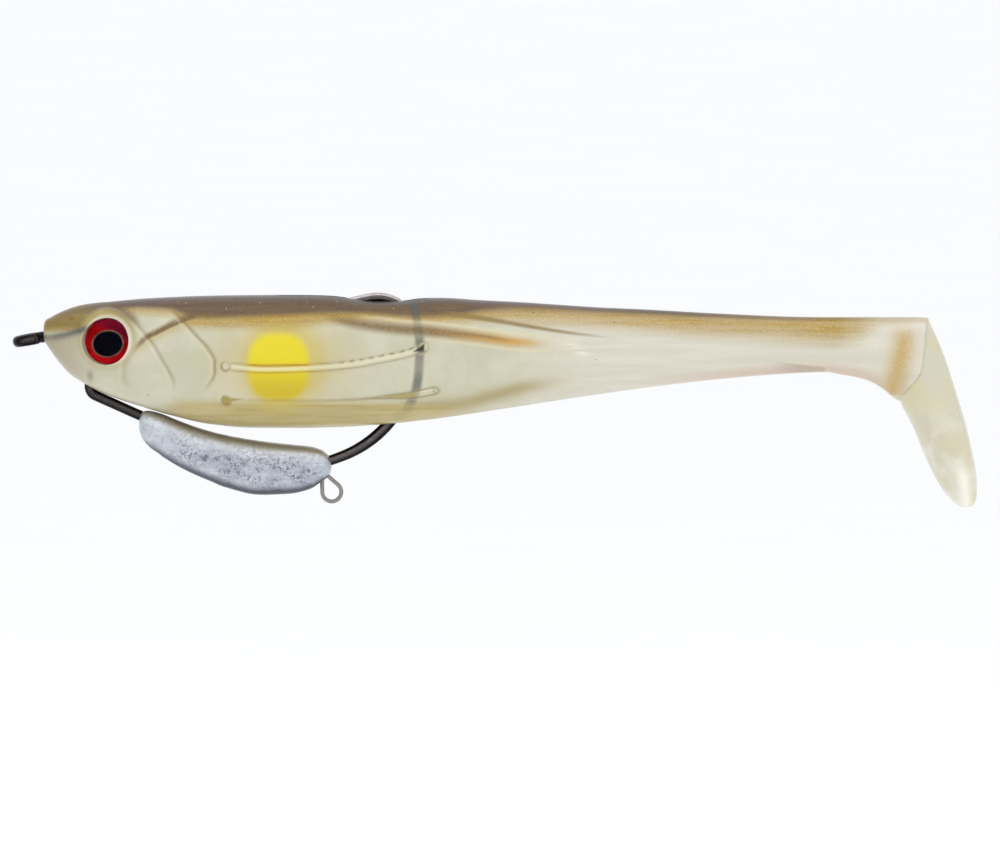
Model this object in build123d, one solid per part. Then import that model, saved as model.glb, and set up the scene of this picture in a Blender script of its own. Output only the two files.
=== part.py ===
"""A soft paddle-tail swimbait rigged on a weighted wide-gap hook.

Millimetres. +X runs from the nose to the tail, +Z is up, and the lure's left side faces -Y.
The origin is the centre of the hook's line-tie eye, where the angler's snap or knot sits.

The soft body is one moulding that bends as it swims and folds down when a fish bites. It is cut
here into four segments (head, trunk, rear body, tail), each pair meeting at a round knuckle on
the axis that the plastic bends about.
"""

import os
from math import acos, atan2, cos, degrees, hypot, radians, sin, tan

from build123d import *

# ---------------------------------------------------------------- driving dimensions

# soft body
body_length = 158.5  # nose to the paddle's rear edge
body_depth = 22.6  # back to belly at the deepest section
body_width = 16.8  # across the flanks at the widest section
nose_x = 2.4  # gap from the line tie's centre to the tip of the nose
back_z = 7.6  # height of the back above the line tie at the deepest section

# hook
wire_d = 1.75
eye_bore_r = 1.25  # inside radius of the line tie
eye_land = 1.0  # straight wall of the line tie's bore
eye_thickness = 1.9  # the eye is pressed flat, a little thicker than the wire
tie_tilt = 10.0  # degrees that the eye and the first run of wire rise towards the tail
offset_x = 10.4  # where the wire turns down through the head
offset_lean = 0.3
offset_top_radius = 2.4
offset_bottom_radius = 2.0
chin_drop = 1.5  # wire's corner below the chin
shank_low_x = 43.9  # where the shank stops falling
shank_drop = 8.0  # shank below the belly there
shank_radius = 25.0
bend_x = 66.7  # rearmost line of the wide bend
bend_drop = 0.9
bend_radius = 19.5
point_corner_x = 64.9  # top corner of the wide bend
point_corner_rise = 1.5  # above the line of the back
point_radius = 5.1
tip_x = 49.0
tip_sink = 2.4  # tip below the line of the back, inside the slot
tip_taper = 6.0
tip_r = 0.12
barb_height = 0.55
barb_length = 2.2

# lead weight, cast round the shank
weight_x = 18.5
weight_length = 32.8
weight_depth = 9.1
weight_width = 6.4
weight_gap = 0.3  # least gap between the weight and the belly

# stainless loop in the rear of the weight
loop_wire_d = 0.7
loop_r = 1.62  # to the middle of the wire
loop_neck_up = 2.9  # where the two legs come together, above the ring's centre
loop_neck_back = 1.25  # and towards the nose from it
loop_leg_spacing = 0.78
loop_root = 0.75  # length of each leg inside the lead
loop_hang = 4.9  # ring's centre below the middle of the weight's end

# eyes
eye_x = 13.1
eye_z = -0.1
eye_d = 7.9
eye_turn = 14.0  # degrees that each eye looks forward
eye_dome_height = 1.5
eye_foil = 0.2
eye_rim = 0.5  # straight edge of the lens, inside the socket
eye_sink = 1.25  # depth of the socket under the skin at its middle
eye_gap = 0.05

# slots for the hook
slot_clearance = 0.35
slot_front_x = 42.0
slot_through_x = 55.0  # from here back, the slot passes right through to the belly
slot_floor = 3.6
slot_behind = 1.2  # room behind the bend

# flex joints: place along the body, radius of the knuckle, and swing to each side
bite_x = 27.0
bite_z = -6.0
bite_swing = 6.0
bite_knuckle_r = 4.5
flex_x = 90.0
flex_swing = 15.0
flex_knuckle_r = 3.9
kick_x = 133.0
kick_swing = 35.0
kick_knuckle_r = 1.9
joint_clearance = 0.3
swing_spare = 1.5  # degrees of room past each limit

# paddle
paddle_height = 33.2
paddle_width = 19.0
paddle_lean = 15.0
paddle_top_width = 7.4
paddle_root = 3.4  # thickness at the top corner
paddle_middle = 7.5  # and where the wrist ends
paddle_middle_down = 15.0
paddle_foot = 6.0  # and at the bottom
paddle_set_back = 8.5  # top corner, ahead of the rearmost point

# soft body sections: place as a share of the way to the paddle's top corner, then the top, the
# bottom and the half width, as shares of the depth above and below the line tie and of the half
# width
body_sections = (
    (0.0, 0.36, 0.01, 0.13),
    (0.0085, 0.49, 0.10, 0.27),
    (0.0232, 0.63, 0.29, 0.41),
    (0.0444, 0.77, 0.48, 0.55),
    (0.0856, 0.86, 0.70, 0.76),
    (0.1638, 0.97, 0.91, 0.95),
    (0.2853, 1.0, 1.0, 1.0),
    (0.4036, 0.93, 0.95, 0.93),
    (0.5621, 0.81, 0.72, 0.69),
    (0.7207, 0.64, 0.51, 0.49),
    (0.8791, 0.50, 0.365, 0.355),
    (0.9246, 0.50, 0.43, 0.39),
    (0.9637, 0.50, 0.66, 0.50),
    (0.988, 0.50, 0.86, 0.58),
)

far = 60.0  # reach of the blocks that cut the body into segments
belly_z = back_z - body_depth
paddle_top_x = nose_x + body_length - paddle_set_back


# ---------------------------------------------------------------- helpers


def station(row):
    """One row of body_sections in millimetres: x, top, bottom and half width."""
    share, top, bottom, half = row
    x = nose_x + share * (paddle_top_x - nose_x)
    return x, top * back_z, bottom * belly_z, half * body_width / 2


def body_at(x):
    """Top, bottom and half width of the body at x, between its sections."""
    rows = [station(row) for row in body_sections]
    for low, high in zip(rows, rows[1:]):
        if low[0] <= x <= high[0]:
            t = (x - low[0]) / (high[0] - low[0])
            t = t * t * (3 - 2 * t) * 0.3 + t * 0.7
            return tuple(a + (b - a) * t for a, b in zip(low[1:], high[1:]))
    return rows[-1][1:]


def back_at(x):
    return body_at(x)[0]


def belly_at(x):
    return body_at(x)[1]


def oval(x, middle_z, half_width, half_height):
    """An upright oval face across the body."""
    plane = Plane(origin=(x, 0, middle_z), x_dir=(0, 1, 0), z_dir=(1, 0, 0))
    return plane * Ellipse(half_width, half_height)


def side_block(points, half_width=far):
    """A block from an outline in the XZ plane, reaching half_width to each side."""
    outline = Plane.XZ * make_face(Polyline(*points, close=True))
    return extrude(outline, half_width, both=True)


def top_block(points):
    """A block from an outline in the XY plane, as tall as the cutting blocks."""
    outline = Plane.XY * make_face(Polyline(*points, close=True))
    return extrude(outline, far, both=True)


def rod(start, end, radius):
    """A round rod between two points of the XZ plane."""
    (x0, z0), (x1, z1) = start, end
    plane = Plane(origin=(x0, 0, z0), z_dir=(x1 - x0, 0, z1 - z0))
    return plane * Cylinder(radius, hypot(x1 - x0, z1 - z0), align=(Align.CENTER, Align.CENTER, Align.MIN))


# ---------------------------------------------------------------- soft body


def whole_body():
    """The tapering round body from the nose to the end of the wrist, with no slots or joints."""
    faces = []
    for row in body_sections:
        x, top, bottom, half = station(row)
        faces.append(oval(x, (top + bottom) / 2, half, (top - bottom) / 2))
    return loft(faces)


def paddle():
    """The thick paddle: a leaning wedge from the side, a rounded bell from behind."""
    top_z = body_sections[-1][1] * back_z
    wedge = side_block(
        [
            (0, 0),
            (0, -paddle_height),
            (-paddle_foot, -paddle_height),
            (-paddle_middle, -paddle_middle_down),
            (-paddle_root, 0),
        ],
        paddle_width,
    )
    foot_r = paddle_width / 2
    top_r = paddle_top_width / 2
    circles = Pos(0, -paddle_height + foot_r) * Circle(foot_r) + Pos(0, -top_r) * Circle(top_r)
    bell = extrude(Plane.YZ * make_hull(circles.edges()), far, both=True)
    lean = Pos(paddle_top_x, 0, top_z) * Rot(0, -paddle_lean, 0)
    return lean * (wedge & bell)


def swing_relief(x, swing, towards_tail):
    """Block of everything behind (or ahead of) an upright hinge at x, less room for its swing."""
    way = 1 if towards_tail else -1
    open_by = far * tan(radians(swing / 2 + swing_spare))
    return top_block([(x, 0), (x + way * open_by, far), (x + way * 4 * far, far), (x + way * 4 * far, -far),
                      (x + way * open_by, -far)])


def upright_knuckle(x, radius):
    return Pos(x, 0, 0) * Cylinder(radius, 2 * far)


def bite_knuckle(radius):
    return Pos(bite_x, 0, bite_z) * Rot(90, 0, 0) * Cylinder(radius, 2 * far)


def hook_slot():
    """The slot that the hook lies in: open on the back, and right through at the wide bend."""
    half = wire_d / 2 + slot_clearance
    rear = bend_x + wire_d / 2 + slot_behind
    floor = back_at(slot_front_x) - slot_floor
    return side_block(
        [
            (slot_front_x, far),
            (slot_front_x, floor),
            (slot_through_x, floor),
            (slot_through_x, -far),
            (rear, -far),
            (rear, far),
        ],
        half,
    )


def eye_place(side):
    """Plane on the bottom of an eye's socket; side is -1 for the left eye and 1 for the right."""
    top, bottom, half = body_at(eye_x)
    rise = (eye_z - (top + bottom) / 2) / ((top - bottom) / 2)
    skin_y = half * (1 - rise * rise) ** 0.5
    turn = radians(eye_turn)
    outward = Vector(-sin(turn), side * cos(turn), 0)
    centre = Vector(eye_x, side * skin_y, eye_z) - outward * eye_sink
    return Plane(origin=centre, x_dir=(0, 0, 1), z_dir=outward)


def head(body, hook):
    ahead = side_block([(bite_x - joint_clearance, -far), (bite_x - joint_clearance, far), (-far, far), (-far, -far)])
    shape = (body & ahead) - bite_knuckle(bite_knuckle_r + joint_clearance) - hook
    for side in (-1, 1):
        socket = Cylinder(eye_d / 2 + eye_gap, 2 * eye_d, align=(Align.CENTER, Align.CENTER, Align.MIN))
        shape -= eye_place(side) * socket
    return shape


def trunk(body):
    close_by = far * tan(radians(bite_swing + swing_spare))
    behind = side_block([(bite_x, far), (bite_x, bite_z), (bite_x + close_by, bite_z - far), (4 * far, -far), (4 * far, far)])
    shape = body & (behind + bite_knuckle(bite_knuckle_r))
    shape &= swing_relief(flex_x, flex_swing, False)
    return shape - upright_knuckle(flex_x, flex_knuckle_r + joint_clearance) - hook_slot()


def rear_body(body):
    shape = body & (swing_relief(flex_x, flex_swing, True) + upright_knuckle(flex_x, flex_knuckle_r))
    shape &= swing_relief(kick_x, kick_swing, False)
    return shape - upright_knuckle(kick_x, kick_knuckle_r + joint_clearance)


def tail(body):
    wrist = body & (swing_relief(kick_x, kick_swing, True) + upright_knuckle(kick_x, kick_knuckle_r))
    return wrist + paddle()


# ---------------------------------------------------------------- hook, weight and loop


def hook_corners():
    """Corners of the wire's middle line, from the line tie to where the point starts to taper."""
    rise = tan(radians(tie_tilt))
    start = (eye_bore_r + wire_d / 2, (eye_bore_r + wire_d / 2) * rise)
    low = belly_at(shank_low_x) - shank_drop
    point_z = back_at(point_corner_x) + point_corner_rise
    tip_z = back_at(tip_x) - tip_sink
    taper_x = tip_x + tip_taper
    taper_z = tip_z + (point_z - tip_z) * tip_taper / (point_corner_x - tip_x)
    return [
        start,
        (offset_x, offset_x * rise),
        (offset_x + offset_lean, belly_at(offset_x) - chin_drop),
        (shank_low_x, low),
        (bend_x, belly_at(bend_x) - bend_drop),
        (point_corner_x, point_z),
        (taper_x, taper_z),
    ]


def line_tie():
    """The flattened eye: a ring with a straight-walled bore and rounded faces."""
    inner = eye_bore_r
    outer = eye_bore_r + wire_d
    half = eye_thickness / 2
    land = eye_land / 2
    crown = (inner + outer) / 2
    profile = make_face(
        Line((inner, -land), (inner, land))
        + ThreePointArc((inner, land), (inner + 0.28 * (crown - inner), land + 0.72 * (half - land)), (crown - 0.2, half))
        + Line((crown - 0.2, half), (crown + 0.2, half))
        + ThreePointArc((crown + 0.2, half), (outer - 0.13, 0.62 * half), (outer, 0))
        + ThreePointArc((outer, 0), (outer - 0.13, -0.62 * half), (crown + 0.2, -half))
        + Line((crown + 0.2, -half), (crown - 0.2, -half))
        + ThreePointArc((crown - 0.2, -half), (inner + 0.28 * (crown - inner), -land - 0.72 * (half - land)), (inner, -land))
    )
    ring = revolve(Plane.XZ * profile, Axis.Z)
    return Rot(0, -tie_tilt, 0) * ring


def barb(tip, ahead):
    """A thin wedge lifted from the inside of the point."""
    (x, z), (dx, dz) = tip, ahead
    angle = degrees(atan2(dz, dx))
    wedge = side_block([(0, 0.0), (barb_length, -wire_d / 2 - barb_height), (barb_length * 1.1, -wire_d / 4)], wire_d / 6)
    return Pos(x, 0, z) * Rot(0, -angle, 0) * wedge


def hook():
    corners = hook_corners()
    radii = [offset_top_radius, offset_bottom_radius, shank_radius, bend_radius, point_radius]
    path = Plane.XZ * FilletPolyline(*corners, radius=radii)
    start = Plane(origin=path @ 0, z_dir=path % 0)
    wire = sweep(start * Circle(wire_d / 2), path=path)
    (taper_x, taper_z), tip_z = corners[-1], back_at(tip_x) - tip_sink
    length = hypot(taper_x - tip_x, taper_z - tip_z)
    plane = Plane(origin=(taper_x, 0, taper_z), z_dir=(tip_x - taper_x, 0, tip_z - taper_z))
    point = plane * Cone(wire_d / 2, tip_r, length, align=(Align.CENTER, Align.CENTER, Align.MIN))
    towards_bend = ((taper_x - tip_x) / length, (taper_z - tip_z) / length)
    barb_tip = (tip_x + barb_length * towards_bend[0], tip_z + barb_length * towards_bend[1])
    bore = Rot(0, -tie_tilt, 0) * Cylinder(eye_bore_r, far)
    return (wire - bore) + line_tie() + point + barb(barb_tip, towards_bend)


# share of the weight's length, then its middle below the belly less the half height there, as a
# gap in millimetres, and its half height and half width as shares of the full ones
weight_sections = (
    (0.0, 1.9, 0.22, 0.30),
    (0.022, 0.95, 0.49, 0.62),
    (0.065, 0.35, 0.70, 0.82),
    (0.16, 0.15, 0.87, 0.95),
    (0.27, 0.3, 0.95, 1.0),
    (0.47, 1.15, 1.0, 1.0),
    (0.68, 2.1, 0.99, 1.0),
    (0.885, 2.85, 0.80, 0.9),
    (0.965, 3.6, 0.55, 0.66),
    (1.0, 5.0, 0.22, 0.30),
)


def weight_middle(row):
    """Place along X and Z of one row of weight_sections, and its half height."""
    share, gap, height, _ = row
    x = weight_x + share * weight_length
    half = height * weight_depth / 2
    return x, belly_at(x) - weight_gap - gap - half, half


def belly_weight(hook, loop):
    faces = []
    for row in weight_sections:
        x, z, half = weight_middle(row)
        faces.append(oval(x, z, row[3] * weight_width / 2, half))
    return loft(faces) - hook - loop


def loop_centre():
    x, z, _ = weight_middle(weight_sections[-1])
    return x, z - loop_hang


def accessory_loop():
    """A teardrop of wire: most of a ring, and two legs that the lead is cast round."""
    x, z = loop_centre()
    shape = None
    ends = []
    for side in (-1, 1):
        neck = (side * loop_leg_spacing / 2 - loop_neck_back, loop_neck_up)
        reach = hypot(*neck)
        # the leg leaves the ring where it is tangent to it, on its own side
        turn = atan2(neck[1], neck[0]) - side * acos(loop_r / reach)
        touch = (loop_r * cos(turn), loop_r * sin(turn))
        run = hypot(neck[0] - touch[0], neck[1] - touch[1])
        root = tuple(n + (n - t) / run * loop_root for n, t in zip(neck, touch))
        leg = rod((x + touch[0], z + touch[1]), (x + root[0], z + root[1]), loop_wire_d / 2)
        shape = leg if shape is None else shape + leg
        ends.append(touch)
    (left_x, left_z), (right_x, right_z) = ends
    arc = ThreePointArc((x + left_x, z + left_z), (x, z - loop_r), (x + right_x, z + right_z))
    path = Plane.XZ * arc
    start = Plane(origin=path @ 0, z_dir=path % 0)
    return shape + sweep(start * Circle(loop_wire_d / 2), path=path)


# ---------------------------------------------------------------- eyes


def eye_foil_disc(side):
    disc = Cylinder(eye_d / 2 - eye_gap, eye_foil, align=(Align.CENTER, Align.CENTER, Align.MIN))
    return eye_place(side) * disc


def eye_dome(side):
    """A clear lens: a short straight rim with a domed face."""
    rim_r = eye_d / 2
    sphere_r = (rim_r**2 + eye_dome_height**2) / (2 * eye_dome_height)
    top = eye_foil + eye_rim + eye_dome_height
    sphere = Pos(0, 0, top - sphere_r) * Sphere(sphere_r)
    puck = Pos(0, 0, eye_foil) * Cylinder(rim_r, 2 * rim_r, align=(Align.CENTER, Align.CENTER, Align.MIN))
    return eye_place(side) * (sphere & puck)


# ---------------------------------------------------------------- build


def main():
    os.makedirs("parts", exist_ok=True)
    body = whole_body()
    the_hook = hook()
    the_loop = accessory_loop()
    pieces = {
        "hook": the_hook,
        "belly_weight": belly_weight(the_hook, the_loop),
        "accessory_loop": the_loop,
        "body_head": head(body, the_hook),
        "body_trunk": trunk(body),
        "body_rear": rear_body(body),
        "body_tail": tail(body),
        "eye_foil_left": eye_foil_disc(-1),
        "eye_foil_right": eye_foil_disc(1),
        "eye_dome_left": eye_dome(-1),
        "eye_dome_right": eye_dome(1),
    }
    for name, shape in pieces.items():
        export_step(shape, f"parts/{name}.step")
        print(name, round(shape.volume, 2), "mm3")


main()
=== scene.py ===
# %% [markdown]
# # A soft swimbait on a weighted hook
#
# The object is a soft plastic fish, poured in one piece and threaded on a wide black hook with a
# lead belly weight. This lesson builds its looks on top of a fixed frame: the frame has the sizes
# and the joints, and here we only make better surfaces and finishes.
#
# Everything is worked out in millimetres, because that is how a lure maker thinks, and turned
# into metres when a mesh is made.

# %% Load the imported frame
import math
from types import SimpleNamespace
import bmesh
import bpy
import numpy as np
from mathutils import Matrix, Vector


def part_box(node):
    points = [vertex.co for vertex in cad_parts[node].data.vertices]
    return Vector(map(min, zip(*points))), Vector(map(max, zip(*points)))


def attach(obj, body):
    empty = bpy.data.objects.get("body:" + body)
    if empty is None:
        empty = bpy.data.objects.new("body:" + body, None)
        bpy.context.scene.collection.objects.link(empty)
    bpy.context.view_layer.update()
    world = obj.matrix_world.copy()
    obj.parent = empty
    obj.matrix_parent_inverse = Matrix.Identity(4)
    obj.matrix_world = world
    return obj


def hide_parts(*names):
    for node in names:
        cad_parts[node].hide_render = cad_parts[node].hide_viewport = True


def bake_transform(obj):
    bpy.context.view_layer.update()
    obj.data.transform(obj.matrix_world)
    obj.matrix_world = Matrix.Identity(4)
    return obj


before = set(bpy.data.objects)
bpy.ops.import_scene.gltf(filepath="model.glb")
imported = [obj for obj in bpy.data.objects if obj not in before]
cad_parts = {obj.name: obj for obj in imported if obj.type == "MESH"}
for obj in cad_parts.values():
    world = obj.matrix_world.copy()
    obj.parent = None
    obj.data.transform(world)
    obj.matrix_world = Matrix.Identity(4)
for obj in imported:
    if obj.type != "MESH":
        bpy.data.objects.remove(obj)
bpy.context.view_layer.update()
MM = 0.001


def node_box(name):
    """Lowest and highest corner of a CAD node, in millimetres."""
    low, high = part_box(name)
    return np.array(low) / MM, np.array(high) / MM


def middle_of(name):
    low, high = node_box(name)
    return (low + high) / 2


# %% [markdown]
# ## Camera, light and floor
#
# A catalogue picture of a lure is taken from straight beside it with a long lens, so nothing
# looks stretched, and a little from above, so the slot in the back shows as a thin dark line.
# The light is a large soft box above and in front, with a white room all round. A plain floor
# that curves up into a wall has no corner to distract the eye.

# %% Camera
nose_tip = node_box("body_head")[0][0]
VIEW_WIDTH = 170.0  # millimetres across the picture
VIEW_AIM = np.array((nose_tip + 77.5, 0.0, -14.9))  # the point in the middle of the picture
CAMERA_AWAY = 2000.0
CAMERA_RISE = math.radians(3.0)
SENSOR = 36.0


def put_camera():
    data = bpy.data.cameras.new("camera")
    data.sensor_width = SENSOR
    data.lens = SENSOR * CAMERA_AWAY / VIEW_WIDTH
    data.clip_start, data.clip_end = 0.01, 20.0
    camera = bpy.data.objects.new("camera", data)
    bpy.context.scene.collection.objects.link(camera)
    back = np.array((0, -math.cos(CAMERA_RISE), math.sin(CAMERA_RISE)))
    camera.location = (VIEW_AIM + CAMERA_AWAY * back) * MM
    camera.rotation_euler = Vector(-back).to_track_quat("-Z", "Y").to_euler()
    bpy.context.scene.camera = camera
    return camera


camera = put_camera()
print("camera lens", round(camera.data.lens, 1), "mm")

# %% Soft studio light
bpy.context.scene.view_settings.view_transform = "Standard"
bpy.context.scene.view_settings.look = "None"


def put_room_light(strength):
    world = bpy.data.worlds.new("white_room")
    world.use_nodes = True
    world.node_tree.nodes["Background"].inputs["Color"].default_value = (0.97, 0.985, 1.0, 1)
    world.node_tree.nodes["Background"].inputs["Strength"].default_value = strength
    bpy.context.scene.world = world


def put_soft_box(name, place, size, power, aim=VIEW_AIM):
    data = bpy.data.lights.new(name, "AREA")
    data.shape, data.size, data.size_y = "RECTANGLE", size[0] * MM, size[1] * MM
    data.energy = power
    box = bpy.data.objects.new(name, data)
    bpy.context.scene.collection.objects.link(box)
    box.location = np.array(place) * MM
    toward = Vector(np.array(aim) - np.array(place))
    box.rotation_euler = toward.to_track_quat("-Z", "Y").to_euler()
    return box


put_room_light(1.0)
put_soft_box("overhead_box", (60, -180, 620), (900, 500), 0.9)
put_soft_box("front_box", (-160, -700, 260), (420, 420), 0.25)
put_soft_box("tail_box", (420, -420, 120), (220, 420), 0.15)

# %% [markdown]
# ## Small helpers
#
# A curve through a maker's few measured stations must not wobble between them. A monotone cubic
# never overshoots its points, so it is the right one for outlines. Stations are then spaced
# evenly along the outline itself, and not along the lure, so a blunt nose gets its fair share.


# %% Curves through a few points
def flow_through(knots, values, places):
    """Values at places on a smooth curve that passes the knots and never overshoots them."""
    knots, values = np.asarray(knots, float), np.asarray(values, float)
    places = np.clip(places, knots[0], knots[-1])
    gaps = np.diff(knots)
    slopes = np.diff(values) / gaps
    tangents = np.concatenate((slopes[:1], np.zeros(len(knots) - 2), slopes[-1:]))
    same_way = np.flatnonzero(slopes[:-1] * slopes[1:] > 0)
    for i in same_way:
        before, after = 2 * gaps[i + 1] + gaps[i], gaps[i + 1] + 2 * gaps[i]
        tangents[i + 1] = (before + after) / (before / slopes[i] + after / slopes[i + 1])
    i = np.clip(np.searchsorted(knots, places, side="right") - 1, 0, len(gaps) - 1)
    t = (places - knots[i]) / gaps[i]
    rise = t * t * (3 - 2 * t)
    start_pull = t * (1 - t) ** 2 * gaps[i] * tangents[i]
    end_pull = t * t * (t - 1) * gaps[i] * tangents[i + 1]
    return values[i] * (1 - rise) + values[i + 1] * rise + start_pull + end_pull


def along(rows, step):
    """Rows of sizes, made again every step millimetres along their own outline."""
    rows = np.array(rows, float)
    lengths = np.linalg.norm(np.diff(rows, axis=0), axis=1)
    places = np.concatenate(([0], np.cumsum(lengths)))
    fine = np.linspace(0, places[-1], max(3, round(places[-1] / step)) + 1)
    return np.stack([flow_through(places, column, fine) for column in rows.T], axis=1)


def ramp(value, low, high):
    """0 below low, 1 above high, and an even turn between; high may be the lower one."""
    t = np.clip((value - low) / (high - low), 0, 1)
    return t * t * (3 - 2 * t)


def window(value, rise, full, fade, gone):
    """Rises from 0 to 1 between the first two values, and falls again between the last two."""
    return ramp(value, rise, full) * ramp(value, gone, fade)


def mound(value, half_width):
    """A soft mound, 1 in the middle and nearly 0 past half_width."""
    return np.exp(-((value / half_width) ** 2) * 2)


# %% Meshes from rings of points
def mesh_of(name, vertices, faces):
    mesh = bpy.data.meshes.new(name)
    mesh.from_pydata((np.asarray(vertices) * MM).tolist(), [], faces)
    mesh.update()
    return mesh


def piece_of(name, mesh):
    piece = bpy.data.objects.new(name, mesh)
    bpy.context.scene.collection.objects.link(piece)
    return piece


def tube_faces(rings, around, first=0):
    """Quads between neighbouring rings of points."""
    quads = []
    for i in range(rings - 1):
        low = first + i * around
        for j in range(around):
            k = (j + 1) % around
            quads.append((low + j, low + k, low + around + k, low + around + j))
    return quads


def loft(rings):
    """A closed skin over rings of points; each end closes on its ring's middle."""
    count, around = rings.shape[:2]
    ends = np.stack((rings[0].mean(0), rings[-1].mean(0)))
    vertices = np.concatenate((rings.reshape(-1, 3), ends))
    faces = tube_faces(count, around)
    head, foot, last = count * around, count * around + 1, (count - 1) * around
    for j in range(around):
        k = (j + 1) % around
        faces.append((head, k, j))
        faces.append((foot, last + j, last + k))
    return vertices, faces


def around_ring(count, fullness=2.0):
    """Sideways and upward shares of a ring; above 2, fullness squares its shoulders a little."""
    turn = np.linspace(0, 2 * math.pi, count, endpoint=False)
    power = 2 / fullness
    side, up = np.sin(turn), np.cos(turn)
    return np.sign(side) * np.abs(side) ** power, np.sign(up) * np.abs(up) ** power


# %% [markdown]
# ## Finishes as arithmetic
#
# A material is a recipe of nodes. Written as plain expressions, `1 - brown * 0.5` reads like the
# sum that it is. `Flow` wraps one output socket so that Python's own operators add the Math
# nodes, and `Recipe.add` makes every other node: its type, its settings, then its sockets.


# %% The recipe classes
class Flow:
    """One output socket; ordinary arithmetic on it adds Math nodes."""

    def __init__(self, recipe, socket):
        self.recipe, self.socket = recipe, socket

    def maths(self, operation, *values):
        return self.recipe.add("ShaderNodeMath", {"operation": operation}, dict(enumerate(values)))

    def root(self):
        return self.maths("SQRT", self)

    def __add__(self, other):
        return self.maths("ADD", self, other)

    def __sub__(self, other):
        return self.maths("SUBTRACT", self, other)

    def __rsub__(self, other):
        return self.maths("SUBTRACT", other, self)

    def __mul__(self, other):
        return self.maths("MULTIPLY", self, other)

    __radd__ = __add__
    __rmul__ = __mul__


class Recipe:
    """A material being made."""

    def __init__(self, name):
        self.material = bpy.data.materials.new(name)
        self.material.use_nodes = True
        self.tree = self.material.node_tree
        self.tree.nodes.clear()

    def add(self, kind, settings=None, sockets=None, output=0):
        node = self.tree.nodes.new(kind)
        for key, value in (settings or {}).items():
            setattr(node, key, value)
        for key, value in (sockets or {}).items():
            if isinstance(value, Flow):
                self.tree.links.new(value.socket, node.inputs[key])
            else:
                node.inputs[key].default_value = value
        return Flow(self, node.outputs[output])

    def mix(self, share, under, over, blend="MIX"):
        """Colour over laid on colour under, by share."""
        settings = {"data_type": "RGBA", "blend_type": blend}
        return self.add("ShaderNodeMix", settings, {0: share, 6: under, 7: over}, 2)

    def turn_on(self, value, low, high):
        """0 below low, 1 above high, smooth between."""
        settings = {"interpolation_type": "SMOOTHSTEP"}
        return self.add("ShaderNodeMapRange", settings, {0: value, 1: low, 2: high})

    def between(self, noise, low, high, one, other):
        """From colour one to the other, as the noise rises from low to high."""
        return self.mix(self.turn_on(noise, low, high), one, other)

    def painted(self, name):
        """A number that was painted on the mesh's points."""
        return self.add("ShaderNodeAttribute", {"attribute_name": name}, output="Fac")

    def place(self, name=None):
        """Where a point is, in millimetres: a painted rest place, or the object's own."""
        if name:
            return self.add("ShaderNodeAttribute", {"attribute_name": name}, output="Vector")
        metres = self.add("ShaderNodeTexCoord", output="Object")
        settings = {"operation": "SCALE"}
        return self.add("ShaderNodeVectorMath", settings, {0: metres, "Scale": 1 / MM})

    def stretched(self, vector, scale):
        return self.add("ShaderNodeVectorMath", {"operation": "MULTIPLY"}, {0: vector, 1: scale})

    def noise(self, vector, scale, detail=3.0, rough=0.55):
        sockets = {"Vector": vector, "Scale": scale, "Detail": detail, "Roughness": rough}
        return self.add("ShaderNodeTexNoise", {}, sockets, 0)

    def bump(self, height, distance, strength=1.0):
        sockets = {"Height": height, "Distance": distance * MM, "Strength": strength}
        return self.add("ShaderNodeBump", {}, sockets)

    def finish(self, **sockets):
        """The Principled surface, with sockets written with _ for a space."""
        named = {key.replace("_", " "): value for key, value in sockets.items()}
        surface = self.add("ShaderNodeBsdfPrincipled", {}, named)
        self.add_output(surface)
        return self.material

    def add_output(self, surface):
        node = self.tree.nodes.new("ShaderNodeOutputMaterial")
        self.tree.links.new(surface.socket, node.inputs["Surface"])


def paint(red, green, blue, veil=0.0):
    """A screen colour, 0 to 255, as the linear colour that a shader wants.

    veil is how much white the gloss will lay over it, taken off beforehand."""
    def linear(value):
        share = value / 255
        share = share / 12.92 if share <= 0.04045 else ((share + 0.055) / 1.055) ** 2.4
        return max(share - veil, 0.002)

    return (linear(red), linear(green), linear(blue), 1.0)


# %% [markdown]
# ## The floor
#
# A sheet of pale paper: flat under the lure, then rolled up into a wall behind and in front, so
# that no view round the lure looks off its edge.


# %% Paper sweep
def put_floor(height, reach):
    """A round sheet of paper that rolls up gently towards its edge."""
    out = np.linspace(0.02, 1, 60) * reach
    up = 0.35 * reach * np.clip(out / reach - 0.15, 0, 1) ** 2
    around = 96
    turn = np.linspace(0, 2 * math.pi, around, endpoint=False)
    rings = np.stack([np.stack((o * np.cos(turn), o * np.sin(turn), u + 0 * turn), 1)
                      for o, u in zip(out, up)])
    vertices = np.concatenate((rings.reshape(-1, 3), [[0, 0, 0]])) + (VIEW_AIM[0], 0, height)
    faces = tube_faces(len(rings), around)
    faces += [(len(rings) * around, (j + 1) % around, j) for j in range(around)]
    floor = piece_of("paper_floor", mesh_of("paper_floor", vertices, faces))
    floor.data.shade_smooth()
    recipe = Recipe("pale_paper")
    fibre = recipe.noise(recipe.place(), 0.02, 4)
    colour = recipe.mix(fibre, paint(252, 252, 252), paint(255, 255, 255))
    grain = recipe.bump(recipe.noise(recipe.place(), 1.5, 2), 0.05, 0.2)
    floor.data.materials.append(recipe.finish(Base_Color=colour, Roughness=0.85, Normal=grain))
    return floor


floor = put_floor(height=-100.0, reach=14000.0)

# %% [markdown]
# ## The soft body's outline
#
# The body was poured in a mould carved by hand, so it is a row of ovals that grow and shrink
# from the nose to the wrist. Boxes with subdivision would do, but the flank also carries gill
# plates, slits and a brow, and they need points everywhere. So the skin is one even, dense net
# whose points are pushed out and in afterwards.

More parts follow.
